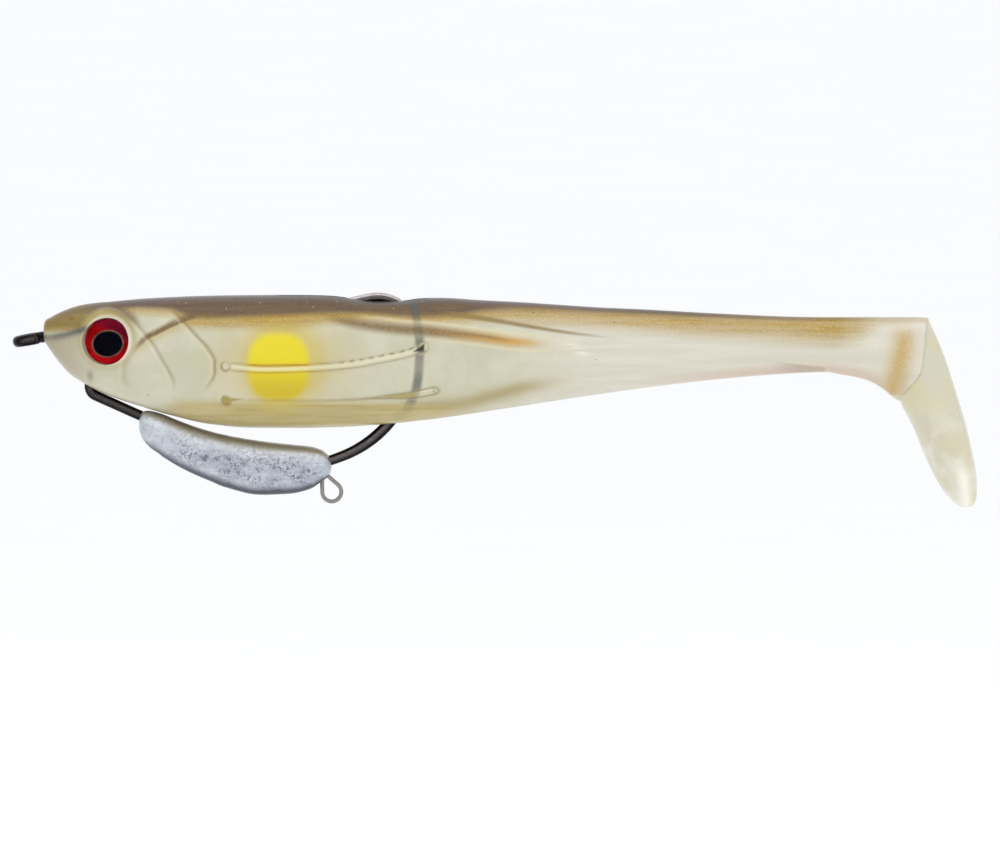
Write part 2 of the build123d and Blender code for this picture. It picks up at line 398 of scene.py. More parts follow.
# %% Stations from the nose to the wrist: x, back, belly, half width
back_z = node_box("body_trunk")[1][2]
stations = [
    (2.3, 1.3, 1.3, 0.0),
    (2.4, 2.5, 0.1, 1.0),
    (2.7, 3.25, -0.6, 1.8),
    (3.6, 3.8, -2.0, 2.7),
    (5.1, 4.6, -4.0, 3.7),
    (6.8, 5.3, -5.85, 4.4),
    (8.5, 5.8, -7.05, 5.0),
    (10.2, 6.1, -8.05, 5.5),
    (11.9, 6.3, -8.9, 5.9),
    (15.3, 6.6, -10.25, 6.5),
    (18.7, 6.9, -11.35, 7.05),
    (23.8, 7.2, -12.85, 7.65),
    (30.6, 7.45, -14.4, 8.15),
    (37.4, 7.55, -15.0, 8.4),
    (45.9, 7.6, -15.05, 8.4),
    (51.0, 7.5, -14.95, 8.3),
    (55.0, 7.0, -14.8, 8.2),
    (59.0, 6.65, -14.55, 8.0),
    (63.0, 6.65, -14.2, 7.8),
    (66.5, 7.05, -13.8, 7.55),
    (69.7, 7.1, -13.4, 7.3),
    (76.5, 6.7, -12.4, 6.8),
    (83.3, 6.35, -11.35, 6.2),
    (90.1, 5.9, -10.3, 5.6),
    (96.9, 5.45, -9.3, 5.05),
    (103.7, 5.15, -8.35, 4.55),
    (117.3, 4.4, -6.75, 3.7),
    (130.9, 3.85, -5.7, 3.15),
    (135.2, 3.8, -5.55, 3.1),
    (137.7, 3.8, -5.95, 3.15),
    (141.1, 3.8, -6.6, 3.3),
    (143.1, 3.8, -7.3, 3.5),
    (145.2, 3.8, -8.6, 3.8),
    (147.2, 3.8, -10.2, 4.1),
    (149.4, 3.8, -10.9, 4.2),
    (151.9, 3.75, -11.0, 3.9),
]
SKIN_STEP = 0.22
SKIN_AROUND = 360
outline = along(stations, SKIN_STEP)
print("skin rings", len(outline), "back", outline[:, 1].max().round(2), "CAD", back_z.round(2))


def body_top(x):
    return np.interp(x, outline[:, 0], outline[:, 1])


def body_bottom(x):
    return np.interp(x, outline[:, 0], outline[:, 2])


# %% Rings of the body
def body_rings():
    side, up = around_ring(SKIN_AROUND, 2.12)
    middle = (outline[:, 1] + outline[:, 2]) / 2
    half = (outline[:, 1] - outline[:, 2]) / 2
    x = np.repeat(outline[:, :1], SKIN_AROUND, axis=1)
    y = outline[:, 3:4] * side
    z = middle[:, None] + half[:, None] * up
    return np.stack((x, y, z), axis=2)


rings = body_rings()

# %% [markdown]
# ## Lines on the flank
#
# Gill plates, slits and seams are all lines seen from the side. For each point of the skin we
# ask how far it is from the line, on which side, and how far along. Steps, grooves and beads
# are then short formulas of that distance, the same on both flanks.


# %% Distance to a line on the flank
SIDE_LEAN = math.tan(CAMERA_RISE)  # lines lie on planes that lean with the way we look at them


def beside(points, x, z, reach=3.0):
    """Distance to the smooth line through points, signed (+ on its left), and how far along."""
    line = along(points, 0.15)
    distance = np.full(x.shape, 99.0)
    place = np.zeros(x.shape)
    near = ((x > line[:, 0].min() - reach) & (x < line[:, 0].max() + reach)
            & (z > line[:, 1].min() - reach) & (z < line[:, 1].max() + reach))
    px, pz = x[near], z[near]
    best = np.full(px.shape, 99.0)
    sign, spot = np.ones(px.shape), np.zeros(px.shape)
    steps = np.diff(line, axis=0)
    for i, ((ax, az), (dx, dz)) in enumerate(zip(line[:-1], steps)):
        square = dx * dx + dz * dz
        t = np.clip(((px - ax) * dx + (pz - az) * dz) / square, 0, 1)
        gap = np.hypot(px - ax - t * dx, pz - az - t * dz)
        closer = gap < best
        best = np.where(closer, gap, best)
        sign = np.where(closer, np.sign(dx * (pz - az) - dz * (px - ax)), sign)
        spot = np.where(closer, (i + t) / len(steps), spot)
    distance[near] = best * np.where(sign == 0, 1, sign)
    place[near] = spot
    return distance, place


def fade_ends(place, start=0.12, end=0.12):
    return ramp(place, 0, start) * ramp(place, 1, 1 - end)


# %% Where each feature runs, by x and z
eye_x, _, eye_z = middle_of("eye_foil_left")
gill_cover = [(23.1, 5.3), (24.7, 4.4), (26.4, 2.7), (28.5, 0.4), (30.4, -1.7), (31.5, -3.9),
              (31.5, -5.6), (30.5, -7.7), (28.9, -9.6)]
cheek_plate = [(16.3, 4.3), (17.9, 2.95), (19.3, 1.3), (20.9, -0.65), (22.5, -3.4),
               (23.9, -5.8), (24.6, -7.7), (24.0, -9.7)]
cheek_fold = [(17.6, -2.2), (16.1, -4.6), (16.0, -6.6), (17.6, -9.0)]
upper_slit = [(34.0, -4.65), (40.1, -5.1), (47.9, -4.88), (54.4, -4.34), (59.7, -3.42),
              (64.1, -2.47), (67.0, -1.45)]
lower_slit = [(34.2, -10.3), (44.0, -10.45), (50.5, -10.4), (55.7, -10.2), (60.9, -9.8),
              (64.8, -9.5), (68.9, -8.75)]
upper_front_bulb, upper_rear_bulb = (33.5, -4.6), (66.9, -1.3)
lower_front_bulb, lower_rear_bulb = (33.6, -10.3), (69.2, -8.7)
nostril = (7.2, 3.45)
wrist_crease = [(152.4, 3.8), (152.1, 0.3), (151.8, -2.6), (151.3, -5.6), (149.9, -7.6),
                (148.2, -9.5)]
brow_fold = [(12.0, 6.3), (15.0, 5.3), (17.0, 4.0), (18.3, 2.6), (18.9, 1.2)]
print("eye at", round(eye_x, 2), round(eye_z, 2))

# %% [markdown]
# ## Relief of the skin
#
# One function says how far each point of the skin stands out, in millimetres: the rolled brow
# round the eye, the steps behind the gill plates, the folded lips of the two slits in each
# flank with a round bulb at each end, and the nostril. Real geometry, not only a bump, so the
# outline and the reflections follow it.


# %% Relief
BROW_R = 4.75


def round_eye(x, z):
    """How far from the middle of the eye, and which way: -1 straight below, 1 straight above."""
    ring = np.hypot((x - eye_x) * 1.03, z - eye_z)
    return ring, np.clip((z - eye_z) / np.maximum(ring, 0.1), -1, 1)


def nostril_dip(x, z):
    return mound(np.hypot((x - nostril[0]) / 2.3, z - nostril[1]), 0.3)


def relief(x, z):
    # brow: a rolled ridge all round the socket, tallest over the eye
    ring, upward = round_eye(x, z)
    out = mound(ring - BROW_R, 0.85) * (0.22 + 0.20 * ramp(upward, -0.3, 0.9))
    # gill cover and cheek plate: each ends in a step down towards the tail
    for line, tall, reach in ((gill_cover, 0.32, 5.5), (cheek_plate, 0.24, 3.2)):
        gap, place = beside(line, x, z, reach=7.0)
        plate = ramp(gap, 0.18, -0.18) * ramp(gap, -reach, 0.0)
        groove = mound(gap - 0.25, 0.35) * 0.12
        out += (tall * plate - groove) * fade_ends(place, 0.22, 0.25)
    gap, place = beside(cheek_fold, x, z)
    out -= mound(gap, 0.7) * 0.14 * fade_ends(place, 0.3, 0.3)
    # slits: two lips with a bead between them
    gap, place = beside(upper_slit, x, z)
    lips = mound(gap, 0.52) * 0.20 - mound(np.abs(gap) - 0.62, 0.22) * 0.16
    out += lips * fade_ends(place, 0.03, 0.03)
    gap, place = beside(lower_slit, x, z)
    wide = 0.16 + 0.5 * ramp(place, 0.66, 0.95)
    lips = mound(gap, wide) * 0.20 * ramp(place, 0.6, 0.8)
    out += lips - mound(np.abs(gap) - wide * 0.9, 0.24) * 0.14
    for (bx, bz), size in ((upper_front_bulb, 0.74), (upper_rear_bulb, 0.9),
                           (lower_front_bulb, 0.6), (lower_rear_bulb, 0.5)):
        ring = np.hypot(x - bx, z - bz)
        out += mound(ring - size, 0.30) * 0.22 - mound(ring, size * 0.8) * 0.22
    out -= nostril_dip(x, z) * 0.3
    # a shallow fold behind the brow, and the crease where the wrist meets the paddle
    gap, place = beside(brow_fold, x, z)
    out -= mound(gap, 0.8) * 0.18 * fade_ends(place, 0.3, 0.3)
    gap, place = beside(wrist_crease, x, z)
    out -= mound(gap, 0.3) * 0.12
    return out


def push_out(points, amount):
    """Each point of a net of rings moved out along the net's own normal."""
    down = np.gradient(points, axis=0)
    across = np.roll(points, -1, axis=1) - np.roll(points, 1, axis=1)
    normal = np.cross(across, down)
    normal /= np.maximum(np.linalg.norm(normal, axis=2, keepdims=True), 1e-9)
    outward = points - points.mean(axis=1, keepdims=True)
    normal *= np.sign((normal * outward).sum(axis=2, keepdims=True))
    return points + normal * amount[..., None]


height = relief(rings[..., 0], rings[..., 2] - np.abs(rings[..., 1]) * SIDE_LEAN)
rings = push_out(rings, height)
print("relief from", height.min().round(2), "to", height.max().round(2), "mm")

# %% [markdown]
# ## The paddle
#
# The tail ends in a thick boot-shaped paddle: flat on its rear face, rounded in front, and
# leaning back so that water makes it kick. It is the same idea turned upright: rows from the
# top corner to the foot, each half an oval in front of a flat rear.

# %% Paddle rows: height, rear face, front face, half width
rear_x = node_box("body_tail")[1][0]
paddle_rows = [
    (3.75, rear_x - 8.4, rear_x - 9.6, 0.0),
    (3.6, rear_x - 8.3, rear_x - 11.0, 1.4),
    (3.0, rear_x - 8.1, rear_x - 12.5, 2.9),
    (1.6, rear_x - 7.45, rear_x - 13.7, 4.0),
    (0.2, rear_x - 6.8, rear_x - 14.0, 4.5),
    (-3.6, rear_x - 5.3, rear_x - 14.2, 5.4),
    (-7.0, rear_x - 4.2, rear_x - 13.9, 6.4),
    (-10.5, rear_x - 3.1, rear_x - 13.05, 7.5),
    (-14.8, rear_x - 1.85, rear_x - 10.9, 8.7),
    (-19.0, rear_x - 0.9, rear_x - 9.2, 9.4),
    (-23.0, rear_x - 0.2, rear_x - 7.35, 9.1),
    (-26.0, rear_x - 0.1, rear_x - 5.5, 7.5),
    (-27.6, rear_x - 0.4, rear_x - 4.0, 5.2),
    (-28.4, rear_x - 1.2, rear_x - 2.9, 2.6),
    (-28.6, rear_x - 2.1, rear_x - 2.3, 0.0),
]


def paddle_mesh():
    rows = along(paddle_rows, 0.35)
    turn = np.linspace(0, 2 * math.pi, 160, endpoint=False)
    side = np.sign(np.sin(turn)) * np.abs(np.sin(turn)) ** 0.86
    fore = np.cos(turn)
    # in front a full half oval, behind a shallow one with rounded edges
    deep = np.where(fore > 0, fore, -np.abs(fore) ** 0.6 * 0.16)
    rings = []
    for z, rear, front, half in rows:
        depth = (rear - front) / 1.16
        middle = front + depth
        rings.append(np.stack((middle - deep * depth, side * half, np.full(turn.shape, z)), 1))
    vertices, faces = loft(np.array(rings)[1:-1])
    return mesh_of("paddle", vertices, faces)


# %% [markdown]
# ## Cutting and joining
#
# The eye sockets and the hook slot have crisp edges, so they are cut with solid cutters, and the
# paddle is joined the same way, which leaves the fine crease where wrist and paddle meet. The
# Manifold solver is exact and quick on closed meshes like these.

# %% Cutters
EYES = {"left": -1.0, "right": 1.0}  # which way along Y each eye looks
EYE_TURN = math.radians(14.0)
EYE_R = 3.95
SOCKET_GAP = 0.05
hook_low, hook_high = node_box("hook")
SLOT_HALF = 1.225
SLOT_FRONT, SLOT_THROUGH, SLOT_REAR = 42.0, 55.0, hook_high[0] + 1.2
SLOT_DEPTH = 3.65
PAST_BACK, PAST_BELLY = 20.0, -30.0  # well outside the body


def socket_cutter(name, side):
    """A cylinder from the back of the eye's foil outwards; side is -1 or 1."""
    middle = middle_of(name)
    out = np.array((-math.sin(EYE_TURN), side * math.cos(EYE_TURN), 0))
    across = np.array((math.cos(EYE_TURN), side * math.sin(EYE_TURN), 0))
    up = np.array((0, 0, 1.0))
    turn = np.linspace(0, 2 * math.pi, 128, endpoint=False)[:, None]
    circle = (EYE_R + SOCKET_GAP) * (np.cos(turn) * across + np.sin(turn) * up)
    rings = np.array([middle + circle - out * 0.12, middle + circle + out * 6])
    return loft(rings)


def slot_cutter(x0, x1, z0, z1):
    """An upright block with round ends, as a hook slot's mould pin has."""
    turn = np.linspace(-math.pi / 2, math.pi / 2, 17)
    rear = np.stack((x1 - SLOT_HALF + SLOT_HALF * np.cos(turn), SLOT_HALF * np.sin(turn)), 1)
    front = np.stack((x0 + SLOT_HALF - SLOT_HALF * np.cos(turn), -SLOT_HALF * np.sin(turn)), 1)
    ring = np.concatenate((rear, front))
    return loft(np.array([np.column_stack((ring, np.full(len(ring), z))) for z in (z0, z1)]))


def solid_operation(piece, tools, operation):
    """Cuts or joins tools, as (vertices, faces) or meshes, and keeps the result's mesh."""
    for tool in tools:
        mesh = tool if isinstance(tool, bpy.types.Mesh) else mesh_of("tool", *tool)
        other = piece_of("tool", mesh)
        modifier = piece.modifiers.new("solid", "BOOLEAN")
        modifier.operation, modifier.object, modifier.solver = operation, other, "MANIFOLD"
        graph = bpy.context.evaluated_depsgraph_get()
        made = bpy.data.meshes.new_from_object(piece.evaluated_get(graph))
        piece.modifiers.clear()
        piece.data = made
        bpy.data.objects.remove(other)
        print(operation, "gives", len(made.vertices), "points")


def outward(mesh):
    """Turns a closed mesh's faces outwards, as the solver wants them."""
    net = bmesh.new()
    net.from_mesh(mesh)
    bmesh.ops.recalc_face_normals(net, faces=net.faces)
    net.to_mesh(mesh)
    net.free()
    return mesh


skin = piece_of("skin", outward(mesh_of("skin", *loft(rings[1:]))))
solid_operation(skin, [outward(paddle_mesh())], "UNION")
cuts = [socket_cutter("eye_foil_" + name, side) for name, side in EYES.items()]
cuts += [slot_cutter(SLOT_FRONT, SLOT_REAR, back_z - SLOT_DEPTH, PAST_BACK),
         slot_cutter(SLOT_THROUGH, SLOT_REAR, PAST_BELLY, PAST_BACK)]
solid_operation(skin, [outward(mesh_of("tool", *cut)) for cut in cuts], "DIFFERENCE")

# %% [markdown]
# ## Painting by numbers
#
# The real body is clear plastic with brown flake on the back, a gold stripe, a yellow core that
# shows as a round spot, and the dark hook seen dimly through it. Each of these is painted as
# one number per point of the skin, from 0 to 1. The finish then decides the colours.


# %% Stripes, and knots along the body
def band(points, x, z, above, below, soft):
    """1 inside a stripe that follows points, reaching above and below its middle line."""
    gap, place = beside(points, x, z, reach=4.0)
    high, low = (np.interp(place, np.linspace(0, 1, len(row)), row) for row in (above, below))
    return (ramp(gap, high + soft, high - soft) * ramp(-gap, low + soft, low - soft),
            place)


def by(x, knots):
    """A number that changes along x, through knots of a place and its value."""
    return np.interp(x, *np.array(knots).T)


brown_edge = [(2.0, 1.6), (9.0, 1.9), (10.4, 3.6), (12.0, 4.9), (14.6, 5.1), (18.5, 5.4),
              (24.3, 5.0), (27.6, 3.6), (32.0, 3.6), (37.0, 3.8), (44.0, 4.1), (52.0, 4.4),
              (58.0, 4.3), (62.5, 3.9), (68.0, 3.8), (73.0, 4.1), (77.0, 4.8), (82.0, 5.1),
              (90.0, 4.95), (100.0, 4.5), (112.0, 4.0), (124.0, 3.7), (134.0, 3.6),
              (142.0, 3.7), (160.0, 3.9)]
gold_depth = [(2.0, 0.2), (10.0, 0.4), (14.0, 1.5), (20.0, 1.6), (24.0, 1.5), (28.0, 2.1),
              (45.0, 3.0), (56.0, 1.6), (68.0, 1.2), (76.0, 2.2), (85.0, 3.4), (100.0, 3.6),
              (112.0, 4.4), (125.0, 5.0), (137.0, 6.2), (141.0, 5.2), (145.0, 2.0),
              (150.0, 1.0), (160.0, 0.5)]
gold_strength = [(2.0, 0.8), (12.0, 0.7), (24.0, 0.75), (30.0, 1.0), (60.0, 1.0), (80.0, 0.85),
                 (110.0, 0.95), (126.0, 0.9), (137.0, 1.0), (141.5, 0.75), (144.0, 0.45),
                 (160.0, 0.45)]
brown_strength = [(112.0, 1.0), (134.0, 0.55), (150.0, 0.3)]
crest_strength = [(3.0, 0.15), (9.0, 0.5), (14.0, 0.9), (60.0, 0.9), (108.0, 0.75),
                  (132.0, 0.4), (146.0, 0.05)]
olive_edge = [(16.0, -12.4), (21.0, -11.4), (25.0, -10.6), (36.0, -10.6), (56.0, -10.7),
              (66.0, -11.0), (74.0, -11.6), (84.0, -12.2), (92.0, -13.0)]
eye_stripe = [(17.0, -3.0), (18.3, -1.3), (20.0, 0.35), (22.0, 1.35), (24.7, 2.7), (28.0, 4.0)]
gold_stripe = [(48.0, 4.4), (53.5, 3.1), (58.3, 2.25), (63.5, 1.7), (68.0, 1.35), (73.0, 0.8),
               (78.1, 0.13), (81.4, -0.4), (84.8, -0.7), (90.5, -1.0)]
second_line = [(69.0, 4.2), (74.3, 3.6), (80.7, 2.65), (84.9, 1.95), (90.5, 1.1), (96.2, 0.4),
               (102.5, -0.35)]
low_shadow = [(60.0, -11.6), (68.0, -11.4), (73.0, -11.0), (78.1, -9.8), (83.1, -8.4),
              (88.1, -7.5), (93.2, -7.1)]
nose_band = [(2.6, 0.25), (4.7, 0.55), (7.0, 1.0), (9.8, 1.75)]
hook_shadow = [(62.3, -13.2), (63.8, -12.4), (64.8, -10.7), (65.8, -8.0), (66.2, -4.5),
               (66.3, -1.5), (66.0, 2.0), (65.4, 5.0), (64.7, 7.4)]
ghost_by_height = [(-13.6, 0.1), (-12.0, 0.2), (-11.2, 0.3), (-10.6, 0.6), (-9.9, 0.35),
                   (-9.2, 0.4), (-8.2, 0.85), (-6.4, 0.8), (-5.2, 0.65), (-2.9, 0.7),
                   (-2.2, 0.25), (-1.4, 0.3), (-0.7, 0.8), (0.0, 0.75), (0.8, 0.35), (2.8, 0.35),
                   (3.7, 0.7), (7.0, 0.85)]
wrist_line = [(148.9, 3.2), (148.3, -0.6), (147.5, -4.6), (146.5, -8.4), (145.6, -10.4)]
# the line of the painted highlight down the paddle's foot
toe_highlight_line = [(157.4, -19.0), (158.3, -23.5), (159.0, -27.8)]
spot_middle, spot_half = (42.4, -4.75), (5.2, 5.85)



# %% Back, flank and belly
def looked_at(place):
    """What the paint asks of each point: its place seen from the side, and what it is near."""
    x, y, flat_z = place.T
    z = flat_z - np.abs(y) * SIDE_LEAN
    seam_z, seam_x = np.array(wrist_crease[::-1]).T[::-1]
    behind_seam = np.where(z < seam_z[0], 9.0, x - np.interp(z, seam_z, seam_x))
    on_paddle = ramp(behind_seam, -0.1, 0.3) * (x > 145)
    return SimpleNamespace(x=x, y=y, z=z, on_paddle=on_paddle, on_body=1 - on_paddle,
                           below_top=body_top(x) - flat_z, above_bottom=flat_z - body_bottom(x))


def back_paint(p):
    """Grey crest, brown, then gold that thins out downwards, and how each end differs."""
    edge, depth = by(p.x, brown_edge), by(p.x, gold_depth)
    soft = 0.7 + 0.5 * ramp(p.x, 72, 86)
    crest = 1.45 - soft * 0.5 + 0.8 * ramp(p.x, 26, 12)
    return {
        "brown": ramp(p.z, edge - soft, edge + soft) * by(p.x, brown_strength) * p.on_body,
        "gold": (ramp(p.z, edge - depth - 0.5, edge - 0.22 * depth)
                 * by(p.x, gold_strength) * p.on_body),
        "crest": ramp(p.below_top, crest, 0.25) * by(p.x, crest_strength) * p.on_body,
        "nose": ramp(p.x, 17.0, 8.0),
        "muzzle": ramp(p.x, 15.0, 3.0) * ramp(p.z, 1.2, 0.2),
        "light": ramp(p.x, 74.0, 98.0),
        "paddle": p.on_paddle,
        "toe": ramp(p.z, -8.0, -20.0),
    }


def stripe_paint(p):
    """The stripe behind the eye, the gold stripe, and the thin line and light beside it."""
    x, z = p.x, p.z
    gap, spot = beside(eye_stripe, x, z)
    fade = ramp(spot, 0.0, 0.35)
    # crisp below and soft above, with gold under it
    stripe = ramp(gap, 0.55 + 0.7 * spot, 0.0) * ramp(gap, -0.65, -0.3)
    under = ramp(gap, -2.3, -0.4) * ramp(gap, 0.4, 0.0)
    gold, spot = band(gold_stripe, x, z, (0.15, 0.6, 0.8, 0.85, 0.9, 0.85, 0.85, 0.7, 0.2),
                      (0.2, 0.7, 0.85, 0.9, 0.9, 0.85, 0.8, 0.6, 0.15), 0.75)
    gold *= fade_ends(spot, 0.15, 0.2)
    line, spot = band(second_line, x, z, (0.9, 0.7, 0.5, 0.35, 0.2), (0.15, 0.12, 0.1, 0.02), 0.25)
    gap = beside(gold_stripe, x, z)[0]
    pale_below = mound(gap + 1.25, 0.4) * window(x, 60, 72, 84, 94)
    pale_above = mound(gap - 1.35, 0.55) * window(x, 54, 62, 82, 94)
    return {
        "stripe": stripe * fade, "under_stripe": under * fade, "amber": gold,
        "amber_warmth": ramp(x, 66.0, 82.0),
        "amber_core": mound(gap - 0.25, 0.5) * window(x, 66, 73, 78, 84),
        "pale": np.maximum(pale_below, pale_above * 0.9),
        "thin_line": line * fade_ends(spot, 0.1, 0.4),
    }


def belly_paint(p):
    """The low shadow, the olive belly, and painted shade as a dark warm line along its lowest
    edge.
    """
    x, z = p.x, p.z
    shadow, spot = beside(low_shadow, x, z)
    edge, soft = by(x, olive_edge), np.interp(x, (20, 34), (1.7, 0.8))
    return {
        "shade": mound(shadow, 1.7) * fade_ends(spot, 0.2, 0.35),
        "olive": ramp(z, edge + soft, edge - soft) * window(x, 18, 28, 62, 86),
        "belly_edge_shade": ramp(p.above_bottom, 0.45, 0.1) * window(x, 14, 30, 70, 112),
    }


def inner_paint(p):
    """What shows through the plastic: the yellow core with its halo and the hook, and painted
    shade in the hook slot and on its lips.
    """
    x, z = p.x, p.z
    dx, dz = x - spot_middle[0], z - spot_middle[1]
    power = 2.6
    core = ((np.abs(dx) / spot_half[0]) ** power
            + (np.abs(dz) / spot_half[1]) ** power) ** (1 / power)
    # the yellow halo reaches further towards the tail
    wide = np.where(dx > 0, 1.25, 1.0)
    halo = np.hypot(dx / (spot_half[0] * wide), (dz - 0.6) / (spot_half[1] + 0.6))
    ghost = ramp(np.abs(beside(hook_shadow, x, z)[0]), 1.1, 0.4) * by(z, ghost_by_height)
    gap, spot = beside(nose_band, x, z)
    in_nose = mound(gap, 0.95) * np.interp(spot, (0, 0.25, 0.8, 1.0), (0.15, 0.75, 0.95, 0.9))
    in_jaw = mound(np.hypot((x - 10.4) / 0.8, (z + 6.2) / 1.3), 1.0) * 0.5
    slot_end = window(x, SLOT_FRONT - 0.6, SLOT_FRONT + 0.6, SLOT_REAR - 0.3, SLOT_REAR + 0.9)
    # painted shade: the slot's walls and a strip of the lips beside it are darkened, as shade down
    # in the slot
    off_middle = np.abs(p.y) - SLOT_HALF
    lip_shade = ramp(off_middle, 1.05, 0.75) * (p.below_top < 3)
    deep = (off_middle < 0.02) * (p.above_bottom > 0.4)
    return {
        "yellow": ramp(core, 1.14, 0.84),
        "yellow_glow": ramp(halo, 1.55, 0.85),
        "yellow_low": ramp(z, -3.0, -9.5),
        "warm": ramp(np.hypot((x - 43.0) / 15.0, (z + 4.0) / 10.0), 1.1, 0.4),
        "ghost": np.maximum(ghost, np.maximum(in_nose, in_jaw)),
        "slot_shade": np.maximum(lip_shade, deep) * slot_end,
    }


# %% Creases and gleams
def slit_paint(p, yellow):
    """Gill plates, fold, slits and bulbs: painted shade along each crease, tinted golden brown,
    and a painted highlight on its high side.
    """
    x, z = p.x, p.z
    creases, gleams = [nostril_dip(x, z) * 0.9], []
    for line, width, dark in ((gill_cover, 0.32, 0.60), (cheek_plate, 0.30, 0.46),
                              (cheek_fold, 0.8, 0.20)):
        gap, spot = beside(line, x, z)
        ends = fade_ends(spot, 0.15, 0.3)
        creases.append(mound(gap - 0.12, width) * dark * ends)
        gleams.append(mound(gap + 0.5, 0.36) * 0.32 * ends)
    gap, spot = beside(upper_slit, x, z)
    ends = fade_ends(spot, 0.02, 0.02)
    dashes = 0.55 + 0.45 * ramp(spot, 0.5, 0.6) * np.sign(np.sin(x * 3.7))
    upper_edge = mound(gap - 0.54, 0.24) * ends
    creases += [upper_edge * 0.72 * dashes, mound(gap + 0.62, 0.22) * 0.36 * ends]
    gleams.append(mound(gap, 0.5) * ends)
    # the lower slit opens towards its rear end, where olive shows between its lips
    gap, spot = beside(lower_slit, x, z)
    wide = 0.08 + 0.5 * ramp(spot, 0.66, 0.95)
    creases.append(mound(np.abs(gap) - wide, 0.22)
                   * np.interp(spot, (0.0, 0.4, 0.7, 1.0), (0.12, 0.3, 0.6, 0.6)))
    gleams.append(mound(gap - 0.3, 0.2) * ramp(spot, 0.85, 0.97))
    opening = ramp(np.abs(gap), wide, wide - 0.2) * window(spot, 0.68, 0.78, 0.86, 0.95)
    for (bx, bz), size, bold in ((upper_front_bulb, 0.76, 0.8), (upper_rear_bulb, 0.92, 0.7),
                                 (lower_rear_bulb, 0.5, 0.5)):
        ring = np.hypot(x - bx, z - bz)
        low_side = 0.65 + 0.35 * np.clip((bx - x + bz - z) / np.maximum(ring, 0.1), -1, 1)
        creases.append(mound(ring - size, 0.26) * bold * low_side)
        gleams.append(ramp(ring, size, size - 0.4) * 0.8)
    # the lower front bulb is a dark drop whose tail points back
    dx, dz = x - lower_front_bulb[0], z - lower_front_bulb[1]
    tail = ramp(dx, -0.1, 0.2) * ramp(
        np.abs(dz - 0.05 * dx) - 0.42 * np.clip((2.6 - dx) / 2.6, 0, 1), 0.15, -0.1)
    drop = np.maximum(ramp(np.hypot(dx, dz), 0.85, 0.6), tail * (dx < 2.8))
    creases.append(mound(np.hypot(dx, dz + 0.05) - 0.78, 0.24)
                   * ramp(dx + dz, 0.9, -0.2) * 0.8)
    # the three-cornered hole in the upper rear bulb, painted dark as the shade within it
    hole = np.maximum(np.maximum(x - 67.1, -2.15 - z), z + 2.05 - (x - 65.3) * 0.72)
    return {
        # painted shade in the creases, and painted highlights on the plates, beads and bulbs
        "crease": np.max(creases, axis=0), "ridge_highlight": np.max(gleams, axis=0),
        "spot_crease": upper_edge * yellow,
        "drop": np.maximum(opening, drop),
        "hole": ramp(hole / 0.3, 0.6, -0.6),
    }


# %% Eye and wrist
def eye_paint(p):
    """A painted highlight along the socket's edge, strongest below, an olive brow and the shaded
    fold behind it.
    """
    ring, upward = round_eye(p.x, p.z)
    gap, spot = beside(brow_fold, p.x, p.z)
    return {
        # painted highlight where the socket's edge faces up into the light, strongest below
        "rim": ramp(ring, 4.45, 4.1) * (0.9 - 0.5 * ramp(upward, 0.0, 0.8)),
        "brow": mound(ring - BROW_R, 0.8) * (0.35 + 0.5 * ramp(upward, -0.2, 0.7)),
        "brow_shade": mound(gap, 1.15) * fade_ends(spot, 0.25, 0.35),
    }


def wrist_paint(p):
    """A gold band down the wrist, flake painted bright ahead of it, a pink edge, a lens of shadow,
    painted shade in the wrist crease, a painted highlight on the flank and one down the paddle's
    foot.
    """
    x, z = p.x, p.z
    gap, spot = beside(wrist_line, x, z)
    hem = mound(p.above_bottom, 1.3) * ramp(x, 142, 145) * 0.6
    lens = np.interp(x, (124.5, 135.2), (-3.5, -4.8)) + 0.5 * ramp(x, 127, 124)
    crease, along_crease = beside(wrist_crease, x, z)
    return {
        "wrist_gold": np.maximum(mound(gap, 2.8) * fade_ends(spot, 0.25, 0.1), hem) * p.on_body,
        "pink": ramp(z, body_bottom(x) + 2.3, body_bottom(x) + 0.4) * window(x, 98, 122, 142, 148),
        "lens": ramp(z, lens + 0.12, lens - 0.12) * window(x, 124.0, 132.0, 134.9, 135.3),
        # flecks of flake painted bright as if catching the light: partly flake, partly painted
        # highlight
        "flake_highlight": mound(np.hypot((x - 142.8) / 3.6, (z + 0.2) / 2.5), 1.3),
        # painted highlight: a bright streaky patch on the flank
        "flank_highlight": mound(np.hypot((x - 93.0) / 2.2, (z + 1.75 + (x - 93.0) * 0.35) / 0.75), 1.2),
        # painted shade along the crease where the wrist meets the paddle
        "wrist_crease": mound(crease, 0.2) * ramp(along_crease, 0.0, 0.1),
        # painted highlight down the paddle's foot, where the light catches it
        "toe_highlight": mound(beside(toe_highlight_line, x, z)[0], 1.5) * ramp(z, -19.0, -24.0),
    }


def paint_layers(place):
    p = looked_at(place)
    inner = inner_paint(p)
    return {**back_paint(p), **stripe_paint(p), **belly_paint(p), **inner,
            **slit_paint(p, inner["yellow"]), **eye_paint(p), **wrist_paint(p)}


# %% [markdown]
# ## Three skins
#
# The body flexes at three places: behind the gills when a fish bites, in the middle, and at the
# wrist. A piece can bend across only one joint, so the finished skin is parted where it doesn't
# bend. The normals of the whole skin are kept, so the partings don't show.


# %% Part the skin
def arrays_of(mesh):
    points = np.zeros(len(mesh.vertices) * 3, np.float32)
    mesh.vertices.foreach_get("co", points)
    corners = np.zeros(len(mesh.loops), np.int32)
    mesh.loops.foreach_get("vertex_index", corners)
    starts = np.zeros(len(mesh.polygons), np.int32)
    mesh.polygons.foreach_get("loop_start", starts)
    totals = np.zeros(len(mesh.polygons), np.int32)
    mesh.polygons.foreach_get("loop_total", totals)
    normals = np.zeros(len(mesh.loops) * 3, np.float32)
    mesh.corner_normals.foreach_get("vector", normals)
    return points.reshape(-1, 3), corners, starts, totals, normals.reshape(-1, 3)


